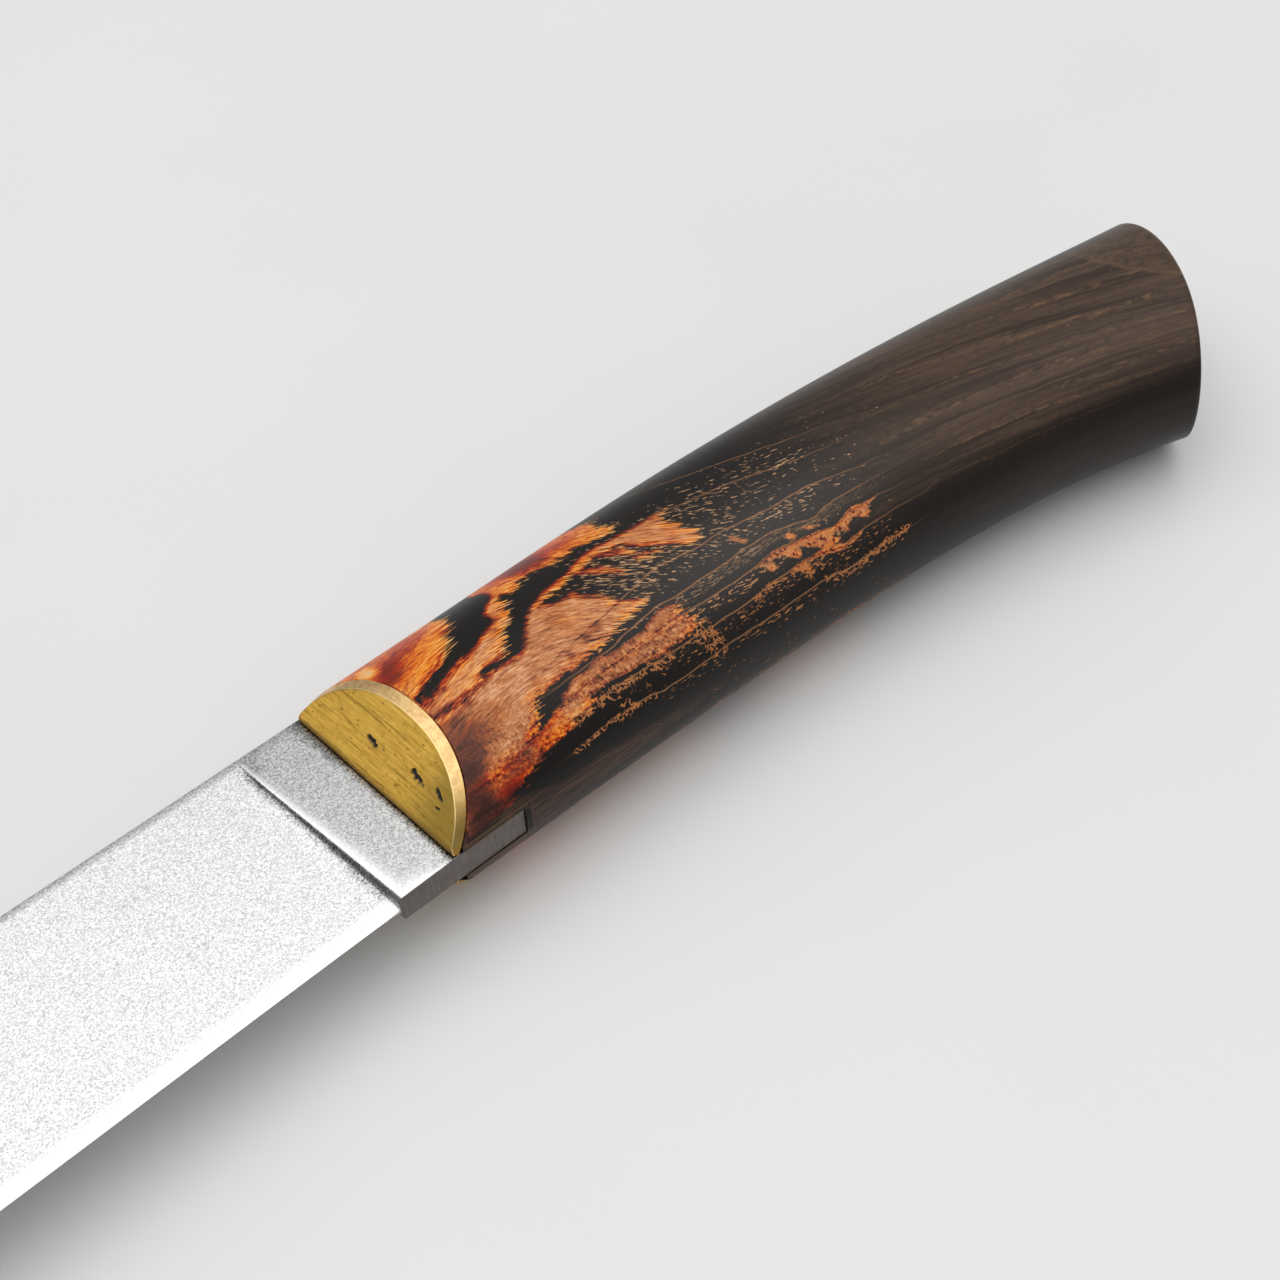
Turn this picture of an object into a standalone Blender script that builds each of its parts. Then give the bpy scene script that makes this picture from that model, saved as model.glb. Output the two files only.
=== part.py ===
"""Fixed-blade knife: flat-ground steel blade, slanted brass bolster plates, figured wood handle.

Sizes are in metres. X runs from the tip to the butt, Y from the cutting edge to the spine and
Z out of the left side. The pieces are drawn round the point where the bolster line crosses the
middle of the ricasso, and the whole knife then lies on its right side over the origin.
"""

import math

import bmesh
import bpy
from mathutils import Matrix, Vector

# Blade
BLADE_LENGTH = 0.145
BLADE_HEIGHT = 0.028
BLADE_THICKNESS = 0.0039
RICASSO_LENGTH = 0.0072
PLUNGE_LEAN = 0.0015
PLUNGE_WALL_RUN = 0.0004
PLUNGE_WALL_SHARE = 0.8
PLUNGE_RADIUS = 0.0025
BELLY_DROP = 0.001
EDGE_BEVEL_WIDTH = 0.0012
EDGE_BEVEL_THICKNESS = 0.0005
DISTAL_TAPER = 0.4
TIP_RISE = 0.004
SPINE_DROP_LENGTH = 0.075
BELLY_SWEEP_LENGTH = 0.065
SPINE_DROP_POWER = 2
BELLY_SWEEP_POWER = 2.2
TIP_THINNING_POWER = 0.8

# Heel and tang
HEEL_DEPTH = 0.0097
TANG_COVER = 0.032
TANG_ROOT_HEIGHT = 0.013
TANG_END_HEIGHT = 0.008
TANG_SHOULDER_RADIUS = 0.002

# Handle
HANDLE_LENGTH = 0.1265
HANDLE_FRONT_WIDTH = 0.0198
HANDLE_PALM_WIDTH = 0.0206
HANDLE_BUTT_WIDTH = 0.022
HANDLE_PROUD = 0.0001
PALM_SWELL = 0.0011
PALM_REACH = 0.06
BUTT_FLARE = 0.0066
BUTT_DROOP = 0.0105
BUTT_SLANT = 0.0197
BUTT_CROWN = 0.0018
BUTT_EDGE_RADIUS = 0.001
SECTION_POWER = 2.2
DROOP_POWER = 3.6
FLARE_POWER = 6

# Bolster plates and their pins
BOLSTER_SLANT = math.radians(40.5)
BOLSTER_THICKNESS = 0.001
BOLSTER_LIP = 0.0011
BOLSTER_RIM_TAPER = 0.0002
PIN_RADIUS = 0.00075
PIN_DEPTH = 0.0035
PIN_SPREAD = 0.0065

# Fits
GLUE_GAP = 0.0002
SEAM_FILM = 0.0003
TANG_BED = 0.0015

# Facets
RING_SIDES = 56
GRIP_RINGS = 34
BLADE_RINGS = 26
ARC_STEPS = 6
RIM_STEPS = 3
DOME_STEPS = 3
PLATE_STEPS = 26
PIN_SIDES = 20
RING_SPACING_POWER = 1.5
CUT_MARGIN = 0.02
GRIP_OVERRUN = 0.005
WELD_DISTANCE = 1e-7
SHARP_ANGLE = math.radians(30)

HALF_HEIGHT = BLADE_HEIGHT / 2
HALF_THICKNESS = BLADE_THICKNESS / 2
SEAM = SEAM_FILM + 2 * GLUE_GAP
BOLSTER_RUN = BOLSTER_THICKNESS / math.cos(BOLSTER_SLANT)
PIN_SEAT = BOLSTER_THICKNESS / 2


def clear_scene():
    for item in list(bpy.data.objects):
        bpy.data.objects.remove(item, do_unlink=True)


def make_material(name, colour, metallic, roughness):
    material = bpy.data.materials.new(name)
    material.use_nodes = True
    shader = material.node_tree.nodes["Principled BSDF"]
    shader.inputs["Base Color"].default_value = (*colour, 1.0)
    shader.inputs["Metallic"].default_value = metallic
    shader.inputs["Roughness"].default_value = roughness
    return material


def make_object(name, form, material=None):
    """Turn a bmesh into an object; without a material it is a cutter that isn't part of the knife."""
    bmesh.ops.recalc_face_normals(form, faces=form.faces)
    mesh = bpy.data.meshes.new(name)
    form.to_mesh(mesh)
    form.free()
    item = bpy.data.objects.new(name, mesh)
    bpy.context.scene.collection.objects.link(item)
    if material is None:
        item.hide_render = True
        item.display_type = "WIRE"
        return item
    mesh.materials.append(material)
    mesh.shade_smooth()
    mesh.set_sharp_from_angle(angle=SHARP_ANGLE)
    return item


def add_boolean(item, operation, other):
    cut = item.modifiers.new(f"{operation} {other.name}".lower(), "BOOLEAN")
    cut.operation = operation
    cut.object = other
    cut.solver = "EXACT"


def blend(start, end, share):
    return start + (end - start) * share


def smooth_step(share):
    share = min(max(share, 0.0), 1.0)
    return share * share * (3 - 2 * share)


def bridge_rings(form, rings):
    for ring, following in zip(rings, rings[1:]):
        count = len(ring)
        for i in range(count):
            j = (i + 1) % count
            form.faces.new((ring[i], ring[j], following[j], following[i]))


def prism(outline, place, low, high):
    """Extrude a closed outline between two levels; place turns (u, v, level) into a point."""
    form = bmesh.new()
    bottom = [form.verts.new(place(u, v, low)) for u, v in outline]
    top = [form.verts.new(place(u, v, high)) for u, v in outline]
    form.faces.new(bottom)
    form.faces.new(top)
    bridge_rings(form, [bottom, top])
    return form


def on_side(u, v, level):
    return Vector((u, v, level))


def on_plan(u, v, level):
    return Vector((u, level, v))


def spine_height(ahead):
    """The spine runs straight, then drops to the tip."""
    drop = 1 - (BLADE_LENGTH - ahead) / SPINE_DROP_LENGTH
    return blend(HALF_HEIGHT, TIP_RISE, max(drop, 0.0) ** SPINE_DROP_POWER)


def edge_height(ahead):
    """The edge falls a little below the ricasso, then sweeps up to the tip."""
    lowest = -HALF_HEIGHT - BELLY_DROP * smooth_step(ahead / (BLADE_LENGTH - BELLY_SWEEP_LENGTH))
    sweep = 1 - (BLADE_LENGTH - ahead) / BELLY_SWEEP_LENGTH
    return blend(lowest, TIP_RISE, max(sweep, 0.0) ** BELLY_SWEEP_POWER)


def grind_share(run):
    """How far the grind has cut in at a distance ahead of the plunge: a wall, then a radius."""
    if run <= PLUNGE_WALL_RUN:
        return PLUNGE_WALL_SHARE * run / PLUNGE_WALL_RUN
    left = max(1 - (run - PLUNGE_WALL_RUN) / PLUNGE_RADIUS, 0.0)
    return blend(PLUNGE_WALL_SHARE, 1.0, math.sqrt(1 - left * left))


def blade_ring(form, run):
    """One section of the ground blade, from the left spine corner round the edge to the right one."""
    ahead = RICASSO_LENGTH + run
    ground = grind_share(run)
    spine = spine_height(ahead)
    edge = edge_height(ahead)
    tip_fade = min((spine - edge) / BLADE_HEIGHT, 1.0) ** TIP_THINNING_POWER
    taper = 1 - DISTAL_TAPER * run / (BLADE_LENGTH - RICASSO_LENGTH)
    spine_half = HALF_THICKNESS * taper * tip_fade
    bevel_half = blend(HALF_THICKNESS, EDGE_BEVEL_THICKNESS / 2, ground) * tip_fade
    edge_half = HALF_THICKNESS * (1 - ground)
    bevel = edge + EDGE_BEVEL_WIDTH * tip_fade
    lean = PLUNGE_LEAN * (BLADE_LENGTH - ahead) / (BLADE_LENGTH - RICASSO_LENGTH)

    def corner(y, z):
        return form.verts.new((-ahead - lean * (y - edge) / (spine - edge), y, z))

    left = [corner(spine, spine_half), corner(bevel, bevel_half), corner(edge, edge_half)]
    right = [corner(edge, -edge_half), corner(bevel, -bevel_half), corner(spine, -spine_half)]
    return left + right


def blade_runs():
    """Distances ahead of the plunge: close together in its radius, and again towards the tip."""
    reach = BLADE_LENGTH - RICASSO_LENGTH
    near = [0.0, PLUNGE_WALL_RUN]
    for step in range(1, ARC_STEPS + 1):
        turn = math.pi / 2 * step / ARC_STEPS
        near.append(PLUNGE_WALL_RUN + PLUNGE_RADIUS * (1 - math.cos(turn)))
    start = near[-1]
    far = []
    for i in range(1, BLADE_RINGS):
        far.append(blend(reach, start, (1 - i / BLADE_RINGS) ** RING_SPACING_POWER))
    return near + far


def heel_and_tang(half_height, depth, grow):
    """Outline of heel and tang behind the front corners, from the spine side round to the belly."""
    root = TANG_ROOT_HEIGHT / 2 + grow
    end = TANG_END_HEIGHT / 2 + grow
    radius = TANG_SHOULDER_RADIUS
    tang_end = HANDLE_LENGTH - TANG_COVER + grow
    upper = [(depth, half_height)]
    for step in range(ARC_STEPS + 1):
        turn = math.pi / 2 * step / ARC_STEPS
        upper.append((depth + radius * (1 - math.cos(turn)), root + radius * (1 - math.sin(turn))))
    for step in range(ARC_STEPS + 1):
        turn = math.pi / 2 * step / ARC_STEPS
        upper.append((tang_end - end * (1 - math.sin(turn)), end * math.cos(turn)))
    lower = [(x, -y) for x, y in reversed(upper[:-1])]
    return upper + lower


def make_blade(material):
    form = bmesh.new()
    rings = [blade_ring(form, run) for run in blade_runs()]
    bridge_rings(form, rings)
    tip = form.verts.new((-BLADE_LENGTH, TIP_RISE, 0.0))
    last = rings[-1]
    for i, corner in enumerate(last):
        form.faces.new((corner, last[(i + 1) % len(last)], tip))

    outline = heel_and_tang(HALF_HEIGHT, HEEL_DEPTH, 0.0)
    left = [form.verts.new((x, y, HALF_THICKNESS)) for x, y in outline]
    right = [form.verts.new((x, y, -HALF_THICKNESS)) for x, y in outline]
    front = rings[0]
    left_loop = [front[0], *left, front[2], front[1]]
    right_loop = [front[5], *right, front[3], front[4]]
    form.faces.new(left_loop)
    form.faces.new(right_loop)
    sides = len(outline) + 1
    for i in range(sides):
        form.faces.new((left_loop[i], left_loop[i + 1], right_loop[i + 1], right_loop[i]))
    bmesh.ops.remove_doubles(form, verts=form.verts, dist=WELD_DISTANCE)
    return make_object("blade", form, material)


def grip_width(x):
    palm = blend(HANDLE_FRONT_WIDTH, HANDLE_PALM_WIDTH, smooth_step(x / PALM_REACH))
    share = max(x, 0.0) / HANDLE_LENGTH
    return palm + (HANDLE_BUTT_WIDTH - HANDLE_PALM_WIDTH) * share ** FLARE_POWER


def grip_height(x):
    """Height of the section; at the front it stands a little proud of the ricasso's corners."""
    across = (BLADE_THICKNESS / HANDLE_FRONT_WIDTH) ** SECTION_POWER
    front = (BLADE_HEIGHT + 2 * HANDLE_PROUD) / (1 - across) ** (1 / SECTION_POWER)
    share = max(x, 0.0) / HANDLE_LENGTH
    return front + PALM_SWELL * smooth_step(x / PALM_REACH) + BUTT_FLARE * share ** FLARE_POWER


def grip_axis(x):
    return -BUTT_DROOP * (max(x, 0.0) / HANDLE_LENGTH) ** DROOP_POWER


def butt_end(up, out, share=1.0):
    """The slanted, domed end of the handle, from its middle (share 0) to its rim (share 1)."""
    length = math.hypot(BUTT_SLANT, grip_height(HANDLE_LENGTH))
    away = share * math.hypot(up, out * HANDLE_BUTT_WIDTH / length)
    return HANDLE_LENGTH + BUTT_SLANT / 2 * up * share + BUTT_CROWN * (1 - away * away)


def section(turn):
    """A unit section, a little squarer than an ellipse: how far up and how far out a point lies."""
    up = math.copysign(abs(math.cos(turn)) ** (2 / SECTION_POWER), math.cos(turn))
    out = math.copysign(abs(math.sin(turn)) ** (2 / SECTION_POWER), math.sin(turn))
    return up, out


def ring_sections():
    return [section(2 * math.pi * i / RING_SIDES) for i in range(RING_SIDES)]


def grip_point(x, up, out, inset=0.0):
    y = grip_axis(x) + (grip_height(x) / 2 - inset) * up
    z = (grip_width(x) / 2 - inset) * out
    return Vector((x, y, z))


def grip_ring(share):
    """One section of the handle; sections lean from square at the front to the slanted butt."""
    ring = []
    for up, out in ring_sections():
        end = butt_end(up, out) - BUTT_EDGE_RADIUS
        ring.append(grip_point(blend(-GRIP_OVERRUN, end, share), up, out))
    return ring


def rim_ring(bend):
    """One ring of the butt's rounded rim, at an angle round its radius."""
    ring = []
    for up, out in ring_sections():
        start = butt_end(up, out) - BUTT_EDGE_RADIUS
        point = grip_point(start, up, out, BUTT_EDGE_RADIUS * (1 - math.cos(bend)))
        point.x += BUTT_EDGE_RADIUS * math.sin(bend)
        ring.append(point)
    return ring


def dome_ring(rim, middle, share):
    ring = []
    for (up, out), edge in zip(ring_sections(), rim):
        point = middle.lerp(edge, share)
        point.x = butt_end(up, out, share)
        ring.append(point)
    return ring


def grip_form():
    """The whole outside of the handle as one loft, with a rounded rim and a domed butt."""
    form = bmesh.new()
    points = [grip_ring(i / GRIP_RINGS) for i in range(GRIP_RINGS + 1)]
    for step in range(1, RIM_STEPS + 1):
        points.append(rim_ring(math.pi / 2 * step / RIM_STEPS))
    middle = Vector((butt_end(0.0, 0.0), grip_axis(HANDLE_LENGTH), 0.0))
    rim = points[-1]
    for step in range(1, DOME_STEPS):
        points.append(dome_ring(rim, middle, 1 - step / DOME_STEPS))
    rings = [[form.verts.new(point) for point in ring] for ring in points]
    bridge_rings(form, rings)
    form.faces.new(rings[0])
    last = rings[-1]
    crown = form.verts.new(middle)
    for i, corner in enumerate(last):
        form.faces.new((corner, last[(i + 1) % len(last)], crown))
    return form


def plate_front(z):
    return (z - HALF_THICKNESS - BOLSTER_LIP) * math.tan(BOLSTER_SLANT)


def plate_back(z):
    return plate_front(z) + BOLSTER_RUN


def wood_front(z):
    return plate_back(z) + GLUE_GAP / math.cos(BOLSTER_SLANT)


def handle_front_cutter():
    """Everything ahead of the two slanted shoulders of the wood, which meet at the blade."""
    high = HANDLE_PALM_WIDTH
    ahead = -CUT_MARGIN
    outline = [
        (ahead, high),
        (wood_front(high), high),
        (wood_front(HALF_THICKNESS), HALF_THICKNESS),
        (wood_front(HALF_THICKNESS), -HALF_THICKNESS),
        (wood_front(high), -high),
        (ahead, -high),
    ]
    return make_object("front_cutter", prism(outline, on_plan, -BLADE_HEIGHT, BLADE_HEIGHT))


def slot_block(name, front, half_height, clearance, tang_clearance, material=None):
    """Heel slot and tang hole as one block that is larger than the steel by the clearances."""
    outline = heel_and_tang(half_height, HEEL_DEPTH + clearance, tang_clearance)
    outline = [(front, half_height), *outline, (front, -half_height)]
    half = HALF_THICKNESS + clearance
    return make_object(name, prism(outline, on_side, -half, half), material)


def pin_height():
    """Pins sit in the middle of the wood that lies between the heel slot and the outside."""
    inner = HALF_THICKNESS + SEAM + (PIN_DEPTH + GLUE_GAP) * math.sin(BOLSTER_SLANT)
    across = (2 * PIN_SPREAD / grip_height(0.0)) ** SECTION_POWER
    outer = HANDLE_FRONT_WIDTH / 2 * (1 - across) ** (1 / SECTION_POWER)
    return (inner + outer) / 2


def pin_frame(side, level):
    """Axes of a pin: its centre lies on the back of the plate and its Z axis runs into the wood."""
    height = pin_height()
    back = plate_back(height)
    turn = math.pi / 2 + BOLSTER_SLANT if side > 0 else math.pi / 2 - BOLSTER_SLANT
    return Matrix.Translation((back, level, side * height)) @ Matrix.Rotation(turn, 4, "Y")


def pin_form(form, side, level, grow):
    length = PIN_SEAT + PIN_DEPTH + 2 * grow
    centre = (PIN_DEPTH - PIN_SEAT) / 2
    frame = pin_frame(side, level) @ Matrix.Translation((0.0, 0.0, centre))
    bmesh.ops.create_cone(
        form,
        cap_ends=True,
        segments=PIN_SIDES,
        radius1=PIN_RADIUS + grow,
        radius2=PIN_RADIUS + grow,
        depth=length,
        matrix=frame,
    )


def pin_hole_cutter(side):
    form = bmesh.new()
    for level in (PIN_SPREAD, -PIN_SPREAD):
        pin_form(form, side, level, GLUE_GAP)
    return make_object(f"pin_holes_{'left' if side > 0 else 'right'}", form)


def make_pin(name, side, level, material):
    form = bmesh.new()
    pin_form(form, side, level, 0.0)
    return make_object(name, form, material)


def plate_outline(plane, inset):
    """The part of the handle's outline above the ricasso, on a slanted plane, spine to belly."""
    low = HALF_THICKNESS + GLUE_GAP
    half = HANDLE_FRONT_WIDTH / 2 - inset
    first = math.asin((low / half) ** (SECTION_POWER / 2))
    lip = math.asin(((HALF_THICKNESS + BOLSTER_LIP) / half) ** (SECTION_POWER / 2))
    inner = [blend(lip, math.pi - lip, i / PLATE_STEPS) for i in range(PLATE_STEPS + 1)]
    outline = []
    for turn in [first, *inner, math.pi - first]:
        up, out = section(turn)
        point = grip_point(plane(half * out), up, out, inset)
        point.x = plane(point.z)
        outline.append(point)
    return outline


def make_bolster(name, side, holes, material):
    """A slanted plate with the handle's outline, a tapered rim and a lip above the ricasso."""
    form = bmesh.new()
    front = plate_outline(plate_front, BOLSTER_RIM_TAPER)
    for end in (front[0], front[-1]):
        end.x = plate_front(HALF_THICKNESS + BOLSTER_LIP)
    back = plate_outline(plate_back, 0.0)
    front = [form.verts.new((p.x, p.y, side * p.z)) for p in front]
    back = [form.verts.new((p.x, p.y, side * p.z)) for p in back]
    form.faces.new(front[1:-1])
    form.faces.new((front[0], front[1], front[-2], front[-1]))
    form.faces.new(back)
    bridge_rings(form, [front, back])
    plate = make_object(name, form, material)
    add_boolean(plate, "DIFFERENCE", holes)
    return plate


def make_handle(cutters, material):
    handle = make_object("handle", grip_form(), material)
    for cutter in cutters:
        add_boolean(handle, "DIFFERENCE", cutter)
    return handle


def make_epoxy_bed(grip, material):
    """The resin: a film each side of the heel, a web behind it and a sleeve round the tang."""
    front = wood_front(HALF_THICKNESS + SEAM)
    outer = SEAM - GLUE_GAP
    bed = slot_block("epoxy_bed", front, BLADE_HEIGHT, outer, TANG_BED - GLUE_GAP, material)
    steel = slot_block("steel_space", -CUT_MARGIN, BLADE_HEIGHT + CUT_MARGIN, GLUE_GAP, GLUE_GAP)
    add_boolean(bed, "DIFFERENCE", steel)
    add_boolean(bed, "INTERSECT", grip)
    return bed


def lay_on_floor(pieces):
    """Hang the pieces on one empty and move it until they lie centred over the origin, on z = 0."""
    bpy.context.view_layer.update()
    shapes = bpy.context.evaluated_depsgraph_get()
    points = [v.co.copy() for piece in pieces for v in piece.evaluated_get(shapes).data.vertices]
    low = Vector([min(p[axis] for p in points) for axis in range(3)])
    high = Vector([max(p[axis] for p in points) for axis in range(3)])
    root = bpy.data.objects.new("knife", None)
    bpy.context.scene.collection.objects.link(root)
    for item in bpy.data.objects:
        if item is not root:
            item.parent = root
    root.location = (-(low.x + high.x) / 2, -(low.y + high.y) / 2, -low.z)


def main():
    clear_scene()
    steel = make_material("blasted_steel", (0.52, 0.52, 0.51), 1.0, 0.42)
    brass = make_material("brass", (0.72, 0.53, 0.2), 1.0, 0.32)
    wood = make_material("figured_wood", (0.06, 0.03, 0.018), 0.0, 0.35)
    resin = make_material("amber_resin", (0.32, 0.16, 0.04), 0.0, 0.4)

    grip = make_object("grip_outside", grip_form())
    holes = {side: pin_hole_cutter(side) for side in (1, -1)}
    slot = slot_block("heel_slot", -CUT_MARGIN, BLADE_HEIGHT, SEAM, TANG_BED)
    pieces = [
        make_blade(steel),
        make_bolster("bolster_left", 1, holes[1], brass),
        make_bolster("bolster_right", -1, holes[-1], brass),
        make_handle([handle_front_cutter(), slot, holes[1], holes[-1]], wood),
        make_epoxy_bed(grip, resin),
        make_pin("pin_left_spine", 1, PIN_SPREAD, brass),
        make_pin("pin_left_belly", 1, -PIN_SPREAD, brass),
        make_pin("pin_right_spine", -1, PIN_SPREAD, brass),
        make_pin("pin_right_belly", -1, -PIN_SPREAD, brass),
    ]
    lay_on_floor(pieces)


main()
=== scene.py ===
"""Looks of the fixed-blade knife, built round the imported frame.

Sizes are in metres, and a name that ends in _MM is in millimetres. Each piece is drawn in the
knife's own coordinates: X runs from the tip to the butt, Y from the cutting edge to the spine,
Z out of the left side, and zero is where the bolster line crosses the middle of the ricasso.
"""

from math import asin, copysign, cos, hypot, pi, radians, sin, sqrt, tan
from types import SimpleNamespace

import bmesh
import bpy
import numpy as np
from mathutils import Matrix, Vector, noise


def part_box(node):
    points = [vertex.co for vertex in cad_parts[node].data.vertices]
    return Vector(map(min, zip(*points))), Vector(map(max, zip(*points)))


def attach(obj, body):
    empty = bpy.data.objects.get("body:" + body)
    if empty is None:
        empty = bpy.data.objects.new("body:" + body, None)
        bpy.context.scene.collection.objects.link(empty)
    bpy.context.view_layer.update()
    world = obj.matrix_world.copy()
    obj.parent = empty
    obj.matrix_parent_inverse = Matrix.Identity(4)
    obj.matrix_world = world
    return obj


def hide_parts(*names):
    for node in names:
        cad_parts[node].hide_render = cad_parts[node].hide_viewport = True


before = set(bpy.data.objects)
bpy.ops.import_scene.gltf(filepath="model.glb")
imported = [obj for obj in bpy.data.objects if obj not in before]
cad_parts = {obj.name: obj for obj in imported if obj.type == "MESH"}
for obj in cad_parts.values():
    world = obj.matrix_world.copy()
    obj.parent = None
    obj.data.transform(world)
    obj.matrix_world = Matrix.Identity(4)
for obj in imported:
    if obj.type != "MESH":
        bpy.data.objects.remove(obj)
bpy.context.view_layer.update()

# Blade, as in the frame
BLADE_LENGTH = 0.145
BLADE_HEIGHT = 0.028
BLADE_THICKNESS = 0.0039
RICASSO_LENGTH = 0.0072
PLUNGE_LEAN = 0.0015
PLUNGE_WALL_RUN = 0.0004
PLUNGE_WALL_SHARE = 0.8
PLUNGE_RADIUS = 0.0025
BELLY_DROP = 0.001
EDGE_BEVEL_WIDTH = 0.0012
EDGE_BEVEL_THICKNESS = 0.0005
DISTAL_TAPER = 0.4
TIP_RISE = 0.004
SPINE_DROP_LENGTH = 0.075
BELLY_SWEEP_LENGTH = 0.065
SPINE_DROP_POWER = 2
BELLY_SWEEP_POWER = 2.2
TIP_THINNING_POWER = 0.8
HEEL_DEPTH = 0.0097
TANG_COVER = 0.032
TANG_ROOT_HEIGHT = 0.013
TANG_END_HEIGHT = 0.008
CORNER_RADIUS = 0.00012
ROLL_DEPTH = 0.00009
ROLL_WIDTH = 0.0016
ROLL_LEAST_WIDTH = 0.0004

# Handle, as in the frame
HANDLE_LENGTH = 0.1265
HANDLE_FRONT_WIDTH = 0.0198
HANDLE_PALM_WIDTH = 0.0206
HANDLE_BUTT_WIDTH = 0.022
HANDLE_PROUD = 0.0001
PALM_SWELL = 0.0011
PALM_REACH = 0.06
BUTT_FLARE = 0.0066
BUTT_DROOP = 0.0105
BUTT_SLANT = 0.0197
BUTT_CROWN = 0.0018
BUTT_EDGE_RADIUS = 0.001
SECTION_POWER = 2.2
DROOP_POWER = 3.6
FLARE_POWER = 6

# Bolster plates and fits, as in the frame
BOLSTER_SLANT = radians(40.5)
BOLSTER_THICKNESS = 0.001
BOLSTER_LIP = 0.0011
BOLSTER_RIM_TAPER = 0.0002
BOLSTER_EDGE_RADIUS = 0.00018
GLUE_GAP = 0.0002
SEAM = 0.0007
TANG_BED = 0.0015
RESIN_CLEARANCE = 0.00004
TOOL_START = -0.02
PIT_DEPTH = 0.00025
PIT_REACH_MM = 4

# Fineness of the meshes
GRIP_RINGS = 250
GRIP_SIDES = 200
RIM_STEPS = 6
DOME_STEPS = 14
PLATE_COLUMNS = 280
PLATE_ROWS = 84
FACE_ROWS = 22
CORNER_STEPS = 4
HEEL_STEPS = 6
RICASSO_STEPS = 24
WALL_STEPS = 6
PLUNGE_STEPS = 12
BLADE_STEPS = 70
STEP_POWER = 1.5
WELD = 1e-7
SHARP_DEGREES = 30
PLATE_SHARP_DEGREES = 40

HALF_HEIGHT = BLADE_HEIGHT / 2
HALF_THICKNESS = BLADE_THICKNESS / 2
PLATE_LOW = HALF_THICKNESS + GLUE_GAP
SLANT_COS = cos(BOLSTER_SLANT)

# Where the knife's own zero lies in the frame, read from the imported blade
blade_low, blade_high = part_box("blade")
ROOT = Vector((
    blade_low.x + BLADE_LENGTH,
    blade_high.y - HALF_HEIGHT,
    (blade_low.z + blade_high.z) / 2,
))

# Camera, fitted to the ricasso, heel and bolster in a square picture of 1280 pixels
PICTURE_SIDE = 1280
FOCAL_PIXELS = 2075
SENSOR_MM = 36
CAMERA_PLACE = Vector((-0.07380, -0.13195, 0.17487))
CAMERA_RIGHT = Vector((0.72999, -0.68227, -0.04020))
CAMERA_UP = Vector((0.51023, 0.50489, 0.69625))
CLIP_START = 0.005
FLOOR_HALF = 12.0


def blend(start, end, share):
    return start + (end - start) * share


def clamp(value):
    return min(max(value, 0.0), 1.0)


def smooth_step(share):
    share = clamp(share)
    return share * share * (3 - 2 * share)


def ease(value, low, high):
    """Smoothly from 0 at low to 1 at high, for arrays."""
    share = np.clip((value - low) / (high - low), 0, 1)
    return share * share * (3 - 2 * share)


def fade(value, low, high):
    return 1 - ease(value, low, high)


def bends(steps):
    """Angles over a quarter turn, for rounded corners."""
    return [pi / 2 * step / steps for step in range(steps + 1)]


def spine_height(ahead):
    drop = 1 - (BLADE_LENGTH - ahead) / SPINE_DROP_LENGTH
    return blend(HALF_HEIGHT, TIP_RISE, max(drop, 0.0) ** SPINE_DROP_POWER)


def edge_height(ahead):
    lowest = -HALF_HEIGHT - BELLY_DROP * smooth_step(ahead / (BLADE_LENGTH - BELLY_SWEEP_LENGTH))
    sweep = 1 - (BLADE_LENGTH - ahead) / BELLY_SWEEP_LENGTH
    return blend(lowest, TIP_RISE, max(sweep, 0.0) ** BELLY_SWEEP_POWER)


def grind_share(run):
    if run <= 0:
        return 0.0
    if run <= PLUNGE_WALL_RUN:
        return PLUNGE_WALL_SHARE * run / PLUNGE_WALL_RUN
    left = max(1 - (run - PLUNGE_WALL_RUN) / PLUNGE_RADIUS, 0.0)
    return blend(PLUNGE_WALL_SHARE, 1.0, sqrt(1 - left * left))


def flare(x):
    return (max(x, 0.0) / HANDLE_LENGTH) ** FLARE_POWER


def grip_width(x):
    palm = blend(HANDLE_FRONT_WIDTH, HANDLE_PALM_WIDTH, smooth_step(x / PALM_REACH))
    return palm + (HANDLE_BUTT_WIDTH - HANDLE_PALM_WIDTH) * flare(x)


def grip_height(x):
    across = (BLADE_THICKNESS / HANDLE_FRONT_WIDTH) ** SECTION_POWER
    front = (BLADE_HEIGHT + 2 * HANDLE_PROUD) / (1 - across) ** (1 / SECTION_POWER)
    return front + PALM_SWELL * smooth_step(x / PALM_REACH) + BUTT_FLARE * flare(x)


def grip_axis(x):
    return -BUTT_DROOP * (max(x, 0.0) / HANDLE_LENGTH) ** DROOP_POWER


def butt_end(up, out, share=1.0):
    length = hypot(BUTT_SLANT, grip_height(HANDLE_LENGTH))
    away = share * hypot(up, out * HANDLE_BUTT_WIDTH / length)
    return HANDLE_LENGTH + BUTT_SLANT / 2 * up * share + BUTT_CROWN * (1 - away * away)


def section(turn):
    up = copysign(abs(cos(turn)) ** (2 / SECTION_POWER), cos(turn))
    out = copysign(abs(sin(turn)) ** (2 / SECTION_POWER), sin(turn))
    return up, out


def grip_point(x, up, out, inset=0.0):
    y = grip_axis(x) + (grip_height(x) / 2 - inset) * up
    z = (grip_width(x) / 2 - inset) * out
    return Vector((x, y, z))


def plate_front(z):
    return (z - HALF_THICKNESS - BOLSTER_LIP) * tan(BOLSTER_SLANT)


def plate_back(z):
    return plate_front(z) + BOLSTER_THICKNESS / SLANT_COS


def wood_front(z):
    return plate_back(z) + GLUE_GAP / SLANT_COS


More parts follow.
